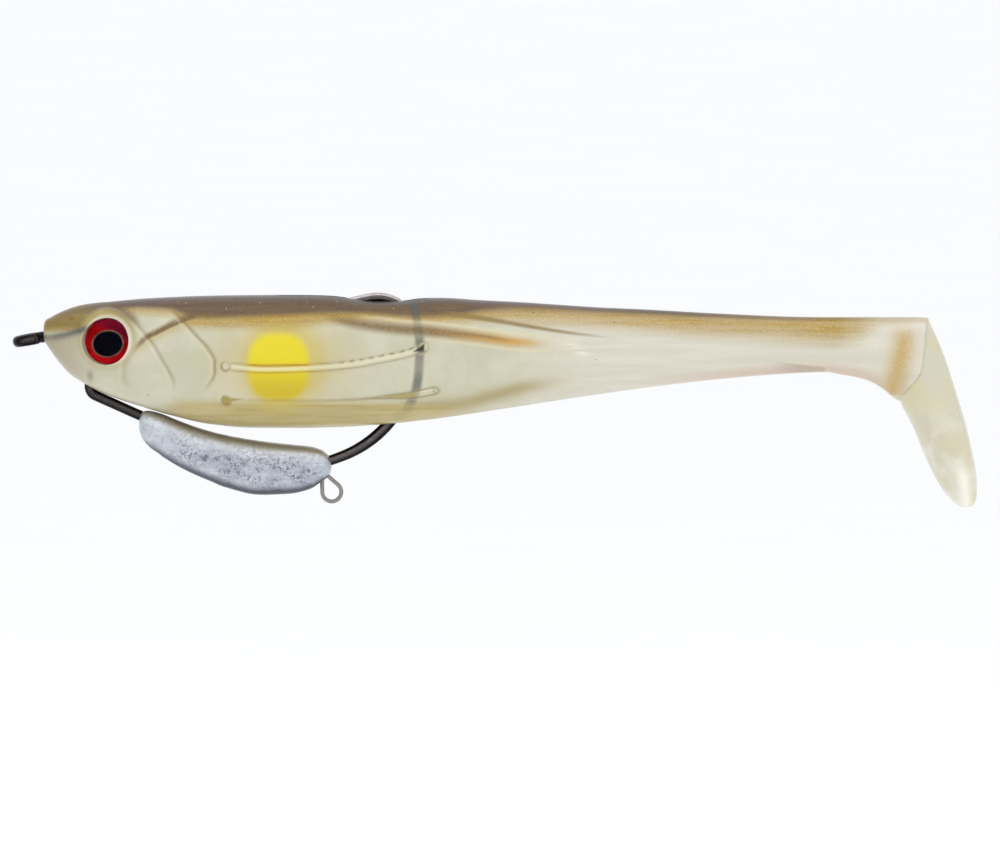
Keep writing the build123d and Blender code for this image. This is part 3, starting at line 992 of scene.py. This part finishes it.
def part_skin(mesh, cuts, names):
    points, corners, starts, totals, normals = arrays_of(mesh)
    sums = np.add.reduceat(points[corners, 0], starts)
    middle = sums / totals / MM
    edges = [-1e9, *cuts, 1e9]
    pieces = []
    for name, low, high in zip(names, edges, edges[1:]):
        chosen = np.flatnonzero((middle >= low) & (middle < high))
        loops = np.concatenate([np.arange(starts[i], starts[i] + totals[i]) for i in chosen])
        used, renamed = np.unique(corners[loops], return_inverse=True)
        offsets = np.concatenate(([0], np.cumsum(totals[chosen])))
        faces = [renamed[a:b].tolist() for a, b in zip(offsets, offsets[1:])]
        part = bpy.data.meshes.new(name)
        part.from_pydata(points[used].tolist(), [], faces)
        part.shade_smooth()
        part.normals_split_custom_set(normals[loops].tolist())
        place = points[used].astype(float) / MM
        for layer, values in paint_layers(place).items():
            attribute = part.attributes.new(layer, "FLOAT", "POINT")
            attribute.data.foreach_set("value", np.asarray(values, np.float32))
        attribute = part.attributes.new("rest_place", "FLOAT_VECTOR", "POINT")
        attribute.data.foreach_set("vector", place.astype(np.float32).ravel())
        pieces.append(piece_of(name, part))
        print(name, len(faces), "faces")
    return pieces


skin.data.shade_smooth()
skin.data.set_sharp_from_angle(angle=math.radians(34))
PARTINGS = (73.0, 113.0)  # between the joints, where the body stays straight
front_skin, middle_skin, rear_skin = part_skin(
    skin.data, PARTINGS, ("front_skin", "middle_skin", "rear_skin"))
bpy.data.objects.remove(skin)

# %% [markdown]
# ## The plastic
#
# Soft plastic is glossy, a little oily, and full of fine flake. Light goes a short way in, which
# takes the hard edge off every colour. Real scattering would darken at the partings of the skin,
# so the depth is painted instead: soft masks, streaks drawn out along the body, fine grain and
# a clear coat on top.


# %% Tinted plastic
def tinted_plastic():
    r = Recipe("tinted_soft_plastic")
    rest = r.place("rest_place")
    streaks = r.noise(r.stretched(rest, (0.10, 0.6, 1.6)), 1.0, 4)
    long_streaks = r.noise(r.stretched(rest, (0.05, 0.4, 0.8)), 1.0, 3)
    cloud = r.noise(rest, 0.16, 3)
    grain = r.noise(rest, 3.2, 3, 0.7)
    fine = r.noise(rest, 7.5, 2, 0.8)
    layer = r.painted

    def tint(colour):
        return paint(*colour, veil=0.05)

    def mottled(noise, low, high, one, other):
        return r.between(noise, low, high, tint(one), tint(other))

    def dots(scale, outer, inner):
        """Round dots scattered at random, from their soft outer edge to their inner one."""
        cells = r.add("ShaderNodeTexVoronoi", {"feature": "F1"},
                      {"Vector": rest, "Scale": scale}, "Distance")
        return r.turn_on(cells, outer, inner)

    streaked = r.turn_on(streaks, 0.38, 0.66)
    mostly = 0.8 + streaked * 0.2
    paddle = r.mix(layer("toe"), mottled(cloud, 0.38, 0.62, (212, 204, 172), (208, 204, 186)),
                   mottled(cloud, 0.40, 0.60, (226, 222, 208), (214, 206, 180)))
    brown = mottled(grain, 0.3, 0.7, (106, 82, 42), (80, 62, 36))
    brown = r.mix(streaked * 0.5, brown, tint((118, 95, 60)))
    brown = r.mix(layer("nose") * 0.8, brown, tint((144, 124, 68)))
    amber = r.mix(layer("amber_warmth"), tint((128, 102, 54)), tint((206, 158, 62)))
    amber = r.mix(layer("amber_core") * 0.8, amber, tint((140, 104, 42)))
    # coats of paint, the deepest first: the layer, its strength and its colour
    coats = (
        ("light", 1.0, mottled(long_streaks, 0.35, 0.65, (221, 216, 202), (215, 210, 195))),
        ("paddle", 0.95, paddle),
        ("muzzle", 0.9, (170, 160, 138)),
        ("shade", 0.9, (174, 161, 118)),
        ("olive", mostly, mottled(long_streaks, 0.35, 0.65, (192, 176, 122), (178, 160, 104))),
        # painted shade along the belly's lowest edge
        ("belly_edge_shade", 0.5, (150, 128, 70)),
        ("pink", 0.8, (210, 190, 174)),
        ("lens", 0.7, (184, 168, 154)),
        ("warm", 0.45, (206, 186, 118)),
        ("yellow_glow", 0.55, (206, 184, 76)),
        ("yellow", 1.0, r.mix(layer("yellow_low"), tint((228, 210, 0)), tint((206, 182, 0)))),
        ("gold", mostly, mottled(grain, 0.35, 0.7, (190, 157, 46), (158, 124, 24))),
        ("under_stripe", 0.55, (186, 160, 88)),
        ("wrist_gold", 0.65 + r.turn_on(grain, 0.3, 0.7) * 0.35,
         mottled(fine, 0.4, 0.7, (203, 174, 110), (184, 149, 80))),
        ("brown", 0.95, brown),
        ("stripe", 0.75 + r.turn_on(grain, 0.35, 0.65) * 0.25, (116, 90, 44)),
        ("pale", 0.7, (224, 214, 180)),
        ("amber", 0.8 + r.turn_on(grain, 0.35, 0.7) * 0.2, amber),
        ("thin_line", 0.8, (136, 112, 58)),
        ("crest", 0.9, (88, 76, 80)),
        ("brow", 1.0, (172, 158, 102)),
        ("brow_shade", 0.75, (112, 92, 56)),
        ("ghost", 0.85 + r.turn_on(grain, 0.3, 0.7) * 0.15, (80, 84, 84)),
        # painted highlight on the high side of each plate, bead and bulb
        ("ridge_highlight", 0.75, (230, 225, 192)),
        ("drop", 0.75, (168, 148, 72)),
        # painted shade along the creases of gill plates, slits, bulbs and nostril, tinted golden
        # brown
        ("crease", 1.0, (142, 116, 34)),
        # the same painted crease shade, orange where it crosses the yellow core
        ("spot_crease", 0.8, (176, 120, 6)),
        # painted shade of the hole in the upper rear bulb
        ("hole", 1.0, (60, 58, 44)),
        # painted highlight round the eye socket's edge
        ("rim", 0.8, (236, 222, 204)),
        # painted shade along the wrist's crease
        ("wrist_crease", r.turn_on(fine, 0.35, 0.6) * 0.7, (140, 126, 100)),
        # flecks of flake painted as bright highlights ahead of the wrist
        ("flake_highlight", r.turn_on(fine, 0.56, 0.68) * 0.8, (246, 240, 214)),
        # painted highlight on the flank
        ("flank_highlight", r.turn_on(streaks, 0.45, 0.6) * 0.85, (246, 245, 232)),
        # painted highlight on the paddle's foot, near white
        ("toe_highlight", 0.9, (252, 249, 236)),
        # painted shade in the hook slot and along its lips, near black
        ("slot_shade", 0.92, (30, 26, 28)),
    )
    colour = mottled(cloud, 0.35, 0.65, (209, 205, 184), (200, 197, 173))
    for name, strength, shade in coats:
        shade = shade if isinstance(shade, Flow) else tint(shade)
        colour = r.mix(layer(name) * strength, colour, shade)
    # dark specks, bright flakes on the back, and a little flake all over but for the spot
    colour = r.mix(dots(0.22, 0.034, 0.022) * 0.8, colour, tint((76, 60, 44)))
    back = layer("gold") * 0.6 + layer("brown") * 0.4
    colour = r.mix(dots(0.55, 0.055, 0.035) * back, colour, tint((240, 230, 196)))
    flake = mottled(fine, 0.35, 0.75, (110, 98, 70), (235, 230, 205))
    colour = r.mix((1 - layer("yellow")) * 0.07, colour, flake)
    return r.finish(Base_Color=colour, Roughness=0.30 + r.turn_on(grain, 0.3, 0.8) * 0.12,
                    Normal=r.bump(grain * 0.6 + fine * 0.4, 0.05, 0.35), IOR=1.42,
                    Coat_Weight=0.25, Coat_Roughness=0.10)


plastic = tinted_plastic()
# each skin, the nodes that it stands for, and the joint that it bends across
skins = (
    (front_skin, ("body_head", "body_trunk"), "head_on_hook", "trunk", 19.0, 37.0),
    (middle_skin, ("body_rear",), "trunk", "rear_body", 78.0, 102.0),
    (rear_skin, ("body_tail",), "rear_body", "tail", 124.0, 143.0),
)
for piece, nodes, first, second, start, end in skins:
    piece.data.materials.append(plastic)
    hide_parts(*nodes)
    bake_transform(piece)

# %% [markdown]
# ## The hook
#
# One length of high carbon wire: a flattened eye, a step down through the head, a long shank, a
# wide bend pressed to an oval, and a needle point. A curve with a bevel can't change its section
# along the way, so the wire is swept as rings: two half thicknesses at every point of the path.


# %% Wire paths
def round_corners(corners, radii, step=0.25):
    """Points along straight runs whose corners are rounded to radii."""
    corners = [np.array(c, float) for c in corners]
    path = [corners[0]]
    for before, corner, after, radius in zip(corners, corners[1:], corners[2:], radii):
        u = (before - corner) / np.linalg.norm(before - corner)
        v = (after - corner) / np.linalg.norm(after - corner)
        half = math.acos(np.clip(u @ v, -1, 1)) / 2
        run = radius / math.tan(half)
        middle = corner + (u + v) / np.linalg.norm(u + v) * radius / math.sin(half)
        a, b = corner + u * run - middle, corner + v * run - middle
        sweep = math.pi - 2 * half
        count = max(4, round(sweep * radius / step))
        for t in np.linspace(0, 1, count + 1):
            path.append(middle + (math.sin((1 - t) * sweep) * a + math.sin(t * sweep) * b)
                        / math.sin(sweep))
    path.append(corners[-1])
    return np.array(path)


def even_points(path, step):
    """The same path with points evenly spaced."""
    lengths = np.linalg.norm(np.diff(path, axis=0), axis=1)
    places = np.concatenate(([0], np.cumsum(lengths)))
    fine = np.linspace(0, places[-1], round(places[-1] / step) + 1)
    return np.stack([np.interp(fine, places, path[:, k]) for k in range(3)], axis=1), fine


def sweep_rings(path, wide, tall, around, first_up):
    """Rings of a wire: wide across the bend's plane, tall in it."""
    tangent = np.gradient(path, axis=0)
    tangent /= np.linalg.norm(tangent, axis=1, keepdims=True)
    up = np.array(first_up, float)
    turn = np.linspace(0, 2 * math.pi, around, endpoint=False)
    rings = []
    for point, t, w, h in zip(path, tangent, wide, tall):
        up = up - t * (up @ t)
        up /= np.linalg.norm(up)
        across = np.cross(t, up)
        rings.append(point + w * np.cos(turn)[:, None] * across + h * np.sin(turn)[:, None] * up)
    return np.array(rings)


# %% The hook's path
WIRE_R = 0.875
TIE_R = 1.25 + WIRE_R  # to the middle of the wire
NECK = 4.1  # where the tie's wire comes back to the middle of the shank
TAPER = 6.2  # length of the needle point
POINT_R = 0.05
HOOK_AROUND = 40
tilt = math.radians(10)
tie_out = np.array((math.cos(tilt), 0, math.sin(tilt)))
tie_side = np.array((0.0, 1.0, 0.0))
tie_axis = np.array((-math.sin(tilt), 0, math.cos(tilt)))
CUT_END, LEAVE = math.radians(-50), math.radians(-322)


def tie_path():
    """Round the line tie from the cut end, and on to the middle of the shank."""
    turn = np.linspace(CUT_END, LEAVE, 90)[:, None]
    ring = TIE_R * (np.cos(turn) * tie_out + np.sin(turn) * tie_side)
    heading = math.sin(-LEAVE) * -tie_out - math.cos(LEAVE) * tie_side
    a, d = ring[-1], NECK * tie_out
    b, c = a + heading * 0.95, d - tie_out * 1.2
    t = np.linspace(0, 1, 16)[1:, None]
    join = (1 - t) ** 3 * a + 3 * t * (1 - t) ** 2 * b + 3 * t * t * (1 - t) * c + t ** 3 * d
    return np.concatenate((ring, join))


hook_corners = [NECK * tie_out, (10.15, 0, 1.79), (10.15, 0, -9.1), (25.0, 0, -15.75),
                (44.1, 0, -23.25), (66.7, 0, -14.7), (64.9, 0, 8.51), (49.0, 0, 5.101)]
hook_radii = (2.4, 1.7, 40.0, 23.0, 19.5, 6.4)
shank = round_corners(hook_corners, hook_radii)
path, run = even_points(np.concatenate((tie_path(), shank[1:])), 0.22)
total = run[-1]
to_tip = total - run
# the tie is pressed a little flat, the bend is forged the other way, and the point tapers
in_tie = ramp(run, 15.0, 12.0)
forged = ramp(path[:, 0], 50, 60) * ramp(to_tip, 10, 22)
point = np.clip(to_tip / TAPER, 0, 1) ** 0.8
wide = (WIRE_R - 0.05 * in_tie - 0.10 * forged) * point + POINT_R * (1 - point)
tall = (WIRE_R + 0.075 * in_tie + 0.10 * forged) * point + POINT_R * (1 - point)
hook_rings = sweep_rings(path, wide, tall, HOOK_AROUND, tie_axis)
# side cutters leave the wire's end on a slant, its face turned outwards
first_way = (path[0] - path[1]) / np.linalg.norm(path[0] - path[1])
for i, share in ((0, 1.0), (1, 0.66), (2, 0.33)):
    outer = (hook_rings[i] - path[i]) @ (path[0] / np.linalg.norm(path[0]))
    hook_rings[i] -= first_way * (outer * 1.25 * share)[:, None]
# painted reflections: a light line along each side of the wire, brighter on its upper half, and a
# painted highlight along the top of the point
offset = hook_rings - path[:, None]
reach = np.maximum(np.linalg.norm(offset, axis=2), 1e-9)
sideways = np.abs(offset[..., 1]) / reach
upper_side = ramp((offset @ tie_axis) / WIRE_R, -0.5, 0.2)
under_chin = ramp(path[:, 0], 30, 18)[:, None]
side_reflection = ramp(sideways, 0.74, 0.99) * (0.4 + 0.6 * upper_side) * (1 - 0.45 * under_chin)
# painted highlight: the upward side of the wire near the point is made bright
point_highlight = ramp(to_tip, 20.0, 15.0)[:, None] * ramp(
    offset[..., 2] / reach, 0.38, 0.66)
print("hook wire", round(total, 1), "mm long; box", hook_rings.reshape(-1, 3).min(0).round(2),
      hook_rings.reshape(-1, 3).max(0).round(2), "CAD", hook_low.round(2), hook_high.round(2))


# %% Hook mesh with its barb
def barb_rings():
    """A sliver raised from the wire near the point, its free end towards the bend."""
    tip = path[-1]
    back = (path[-12] - tip) / np.linalg.norm(path[-12] - tip)
    up = np.cross(back, (0, 1, 0))
    up *= np.sign(up[2])
    places = ((1.6, 0.16, 0.02), (2.3, 0.34, 0.12), (3.0, 0.62, 0.17), (3.5, 0.86, 0.13),
              (3.72, 1.0, 0.03))
    turn = np.linspace(0, 2 * math.pi, 12, endpoint=False)[:, None]
    return np.array([tip + back * b + up * u * 0.98
                     + s * (np.cos(turn) * np.array((0, 1.5, 0)) + np.sin(turn) * up)
                     for b, u, s in places])


def join_lofts(name, *lofts):
    vertices, faces = [], []
    for points, quads in lofts:
        first = sum(len(v) for v in vertices)
        vertices.append(points)
        faces += [tuple(i + first for i in face) for face in quads]
    return outward(mesh_of(name, np.concatenate(vertices), faces))


hook = piece_of("hook_wire", join_lofts("hook_wire", loft(hook_rings), loft(barb_rings())))
hook.data.shade_smooth()
hook.data.set_sharp_from_angle(angle=math.radians(40))


def paint_points(mesh, layer, values, rest=0.0):
    """Stores one number per point; points after the values given get rest."""
    numbers = np.full(len(mesh.vertices), rest, np.float32)
    numbers[:values.size] = np.asarray(values, np.float32).ravel()
    mesh.attributes.new(layer, "FLOAT", "POINT").data.foreach_set("value", numbers)


paint_points(hook.data, "side_reflection", side_reflection, 0.3)
paint_points(hook.data, "point_highlight", point_highlight, 1.0)


# %% [markdown]
# ### Black nickel
#
# The wire is polished and plated almost black. A plated finish has long soft reflections and fine
# drawing marks along the wire, so its roughness and colour wander. Painted reflections are laid
# into its colour too: a light line along each side of the wire, and a painted highlight along the
# top of the point.


# %% Black nickel
def black_nickel():
    r = Recipe("black_nickel_plate")
    spot = r.place()
    cloud = r.noise(spot, 0.55, 4)
    marks = r.noise(r.stretched(spot, (0.5, 3.0, 3.0)), 2.0, 3)
    colour = r.between(cloud, 0.3, 0.75, paint(22, 19, 20), paint(36, 32, 33))
    reflected = r.painted("side_reflection") * (0.55 + r.turn_on(marks, 0.35, 0.7) * 0.45)
    # painted reflection: light lines along the wire's sides
    colour = r.mix(reflected * 0.85, colour, paint(118, 112, 111))
    point_highlight_colour = r.between(marks, 0.4, 0.7, paint(206, 198, 194), paint(170, 160, 158))
    # painted highlight: bright steel colour on top of the point
    colour = r.mix(r.painted("point_highlight") * 0.9, colour, point_highlight_colour)
    return r.finish(Base_Color=colour, Metallic=1.0, Roughness=0.22 + cloud * 0.14,
                    Normal=r.bump(marks, 0.02, 0.25))


hook.data.materials.append(black_nickel())
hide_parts("hook")
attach(hook, "head_on_hook")

# %% [markdown]
# ## The belly weight
#
# Lead poured round the shank: a bent bean with a blunt front end and a rounder rear one. Its rows
# are the top, the bottom and the half width, as for the body, and the surface gets the dents of a
# soft metal that has been in a tackle box.

# %% Weight rows: x, top, bottom, half width
wx = node_box("belly_weight")[0][0]
WEIGHT_AROUND = 112
DENTS = 46
weight_rows = [
    (wx + 0.05, -13.9, -14.5, 0.0),
    (wx + 0.12, -13.2, -15.4, 0.95),
    (wx + 0.55, -12.35, -16.7, 1.75),
    (wx + 1.5, -12.1, -18.0, 2.35),
    (wx + 3.4, -12.5, -19.5, 2.8),
    (wx + 6.9, -13.85, -21.7, 3.05),
    (wx + 10.4, -15.1, -23.4, 3.15),
    (wx + 15.5, -16.4, -25.4, 3.2),
    (wx + 20.6, -17.25, -26.45, 3.2),
    (wx + 25.7, -17.85, -26.25, 3.05),
    (wx + 29.1, -18.2, -25.45, 2.7),
    (wx + 31.0, -18.75, -24.3, 2.2),
    (wx + 32.2, -19.7, -23.3, 1.5),
    (wx + 32.65, -20.6, -22.4, 0.8),
    (wx + 32.75, -21.3, -21.7, 0.0),
]


def weight_rings():
    """Rings of the weight, and how much each point has been knocked about."""
    rows = along(weight_rows, 0.3)[1:-1]
    side, up = around_ring(WEIGHT_AROUND, 2.35)
    middle, half = (rows[:, 1] + rows[:, 2]) / 2, (rows[:, 1] - rows[:, 2]) / 2
    x = np.repeat(rows[:, :1], WEIGHT_AROUND, axis=1)
    y = rows[:, 3:4] * side
    z = middle[:, None] + half[:, None] * up
    rings = np.stack((x, y, z), axis=2)
    dents = np.random.default_rng(7)
    depth = np.zeros(x.shape)
    for _ in range(DENTS):
        cx = dents.uniform(wx + 2, wx + 31)
        turn = dents.uniform(0, 2 * math.pi)
        j = int(turn / (2 * math.pi) * WEIGHT_AROUND) % WEIGHT_AROUND
        i = int(np.argmin(abs(rows[:, 0] - cx)))
        away = np.linalg.norm(rings - rings[i, j], axis=2)
        depth -= mound(away, dents.uniform(0.5, 1.5)) * dents.uniform(0.02, 0.07)
    share = (x - wx) / (rows[-1, 0] - wx)
    height = (z - middle[:, None]) / half[:, None]
    handled = mound(height + 0.12, 0.95) * window(share, 0.08, 0.3, 0.86, 1.0)
    handled = np.maximum(handled, mound(np.hypot((share - 0.06) / 0.03, height / 0.35), 1.0))
    return push_out(rings, depth), handled


weight_net, handled = weight_rings()
weight = piece_of("lead_weight", outward(mesh_of("lead_weight", *loft(weight_net))))
paint_points(weight.data, "handled", handled)
weight.data.shade_smooth()
weight.data.set_sharp_from_angle(angle=math.radians(60))


# %% [markdown]
# ### Cast lead
#
# Fresh lead is bright, then goes blue-grey with a soft bloom. The bloom stays in the pits as
# dark specks, and the high places are scuffed bright again by the net and the box. Light and shade
# are painted in by which way the surface faces: a lighter band as a painted highlight, the top
# warmer as a painted reflection of the body above, and the underside darker as painted shade.


# %% Cast lead
def cast_lead():
    r = Recipe("cast_lead")
    spot = r.place()
    facing = r.add("ShaderNodeNewGeometry", output="Normal")
    upright = r.add("ShaderNodeSeparateXYZ", {}, {0: facing}, "Z")
    bloom = r.noise(spot, 0.22, 5, 0.6)
    patches = r.noise(r.stretched(spot, (0.7, 1.0, 1.2)), 0.35, 3, 0.6)
    mottle = r.noise(spot, 1.3, 5, 0.7)
    pits = r.noise(spot, 2.0, 5, 0.75)
    scuffs = r.noise(r.stretched(spot, (0.25, 1.0, 1.8)), 1.6, 4, 0.65)
    colour = r.between(bloom, 0.35, 0.68, paint(198, 202, 209), paint(172, 177, 187))
    colour = r.mix(r.turn_on(scuffs, 0.52, 0.68) * 0.5, colour, paint(222, 225, 230))
    # painted highlight: a lighter band where the surface turns upwards
    ridge = r.turn_on(upright, 0.05, 0.42)
    colour = r.mix(ridge * 0.5, colour, paint(228, 229, 230))
    colour = r.mix(r.turn_on(mottle, 0.50, 0.66) * 0.45, colour, paint(146, 151, 163))
    where = r.painted("handled") * (0.16 + r.turn_on(patches, 0.42, 0.58) * 0.84)
    pitted = r.turn_on(pits, 0.47, 0.56) * where
    colour = r.mix(pitted * 0.8, colour, paint(84, 88, 98))
    # painted reflection of the body above: warmer grey on the top
    colour = r.mix(r.turn_on(upright, 0.42, 0.74) * 0.6, colour, paint(182, 178, 174))
    # painted shade: darker on the underside
    colour = r.mix(r.turn_on(upright, -0.35, -0.80) * 0.9, colour, paint(60, 62, 72))
    rough = 0.36 + r.turn_on(mottle, 0.4, 0.7) * 0.16 + pitted * 0.2
    relief_height = mottle * 0.3 - pitted * 0.5 + scuffs * 0.2
    return r.finish(Base_Color=colour, Metallic=0.9, Roughness=rough,
                    Normal=r.bump(relief_height, 0.08, 0.5))


weight.data.materials.append(cast_lead())
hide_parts("belly_weight")
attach(weight, "head_on_hook")


# %% [markdown]
# ### The accessory loop
#
# The little loop of stainless wire has the right shape in the frame already, so it stays as it is
# and only gets a drawn-wire finish.


# %% Stainless wire
def stainless_wire():
    r = Recipe("drawn_stainless_wire")
    spot = r.place()
    marks = r.noise(r.stretched(spot, (4.0, 1.0, 4.0)), 2.0, 3)
    colour = r.mix(marks, paint(104, 102, 98), paint(168, 165, 158))
    return r.finish(Base_Color=colour, Metallic=1.0, Roughness=0.22 + marks * 0.12,
                    Normal=r.bump(marks, 0.01, 0.3))


def refinish(node, material):
    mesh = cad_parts[node].data
    mesh.materials.clear()
    mesh.materials.append(material)


refinish("accessory_loop", stainless_wire())

# %% [markdown]
# ## The eyes
#
# Each eye is a printed foil disc under a clear resin dome. The print is drawn by distance from
# the middle of the disc: an oval pupil with a thin gold ring, then the red iris, darker at the
# edge. Over the red, painted shade darkens it towards the top right and painted light brightens
# it towards the lower left. The dome is clear, so it is given a glass-like surface.


# %% Printed foil
def printed_foil(name, side):
    r = Recipe("printed_foil_" + side)
    spot = r.place()
    centred = r.add("ShaderNodeVectorMath", {"operation": "SUBTRACT"},
                    {0: spot, 1: tuple(middle_of(name))})
    split = r.add("ShaderNodeSeparateXYZ", {}, {0: centred}, "X")
    across = split * (1 / math.cos(EYE_TURN))
    upward = Flow(r, split.socket.node.outputs["Z"])
    distance = (across * across + upward * upward).root()
    # the oval pupil sits a little low and leans a little
    px, pz = across - 0.02, upward + 0.42
    lean, rise = px * 0.98 + pz * 0.17, pz * 0.98 - px * 0.17
    oval = (lean * lean * (1 / 2.50 ** 2) + rise * rise * (1 / 2.05 ** 2)).root()
    flecks = r.noise(spot, 3.0, 4, 0.7)
    red = r.between(flecks, 0.3, 0.7, paint(196, 6, 18), paint(168, 4, 16))
    # painted shade: the red darkens and turns purple towards the top right
    top = r.turn_on(upward + across * 0.6, 0.4, 3.0)
    red = r.mix(top * 0.85, red, paint(100, 12, 40))
    # painted light: brighter red towards the lower left
    lit = r.turn_on(upward * 0.7 + across * 0.5, 0.2, -3.0)
    red = r.mix(lit * 0.7, red, paint(218, 16, 28))
    colour = r.between(distance, 3.78, 3.93, red, paint(70, 8, 12))
    ring = r.turn_on(oval, 1.18, 1.11)
    colour = r.mix(ring, colour, r.mix(flecks, paint(112, 78, 62), paint(150, 112, 88)))
    pupil = r.turn_on(oval, 1.05, 0.99)
    colour = r.mix(pupil, colour, paint(1, 2, 20))
    return r.finish(Base_Color=colour, Roughness=0.5, Metallic=(1 - pupil) * 0.2, IOR=1.1)


# %% Clear resin dome
def clear_resin(name, side):
    """side is -1 or 1: the dome's crown is glossy, and its glued rim is clear."""
    r = Recipe("clear_resin_" + name)
    out = (-math.sin(EYE_TURN), side * math.cos(EYE_TURN), 0)
    facing = r.add("ShaderNodeNewGeometry", output="Normal")
    crown = r.add("ShaderNodeVectorMath", {"operation": "DOT_PRODUCT"}, {0: facing, 1: out},
                  "Value")
    clear = r.add("ShaderNodeBsdfTransparent", {}, {"Color": (0.97, 0.97, 0.97, 1)})
    waves = r.bump(r.noise(r.place(), 0.4, 2), 0.02, 0.15)
    gloss = r.add("ShaderNodeBsdfPrincipled", {}, {"Base Color": (0.02, 0.02, 0.02, 1),
                  "Roughness": 0.06, "IOR": 1.5, "Normal": waves})
    rim = r.add("ShaderNodeFresnel", {}, {"IOR": 1.25, "Normal": waves})
    surface = r.add("ShaderNodeMixShader", {},
                    {0: rim * r.turn_on(crown, 0.3, 0.5), 1: clear, 2: gloss})
    r.add_output(surface)
    return r.material


for name, side in EYES.items():
    refinish("eye_foil_" + name, printed_foil("eye_foil_" + name, name))
    refinish("eye_dome_" + name, clear_resin(name, side))
    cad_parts["eye_dome_" + name].data.shade_smooth()
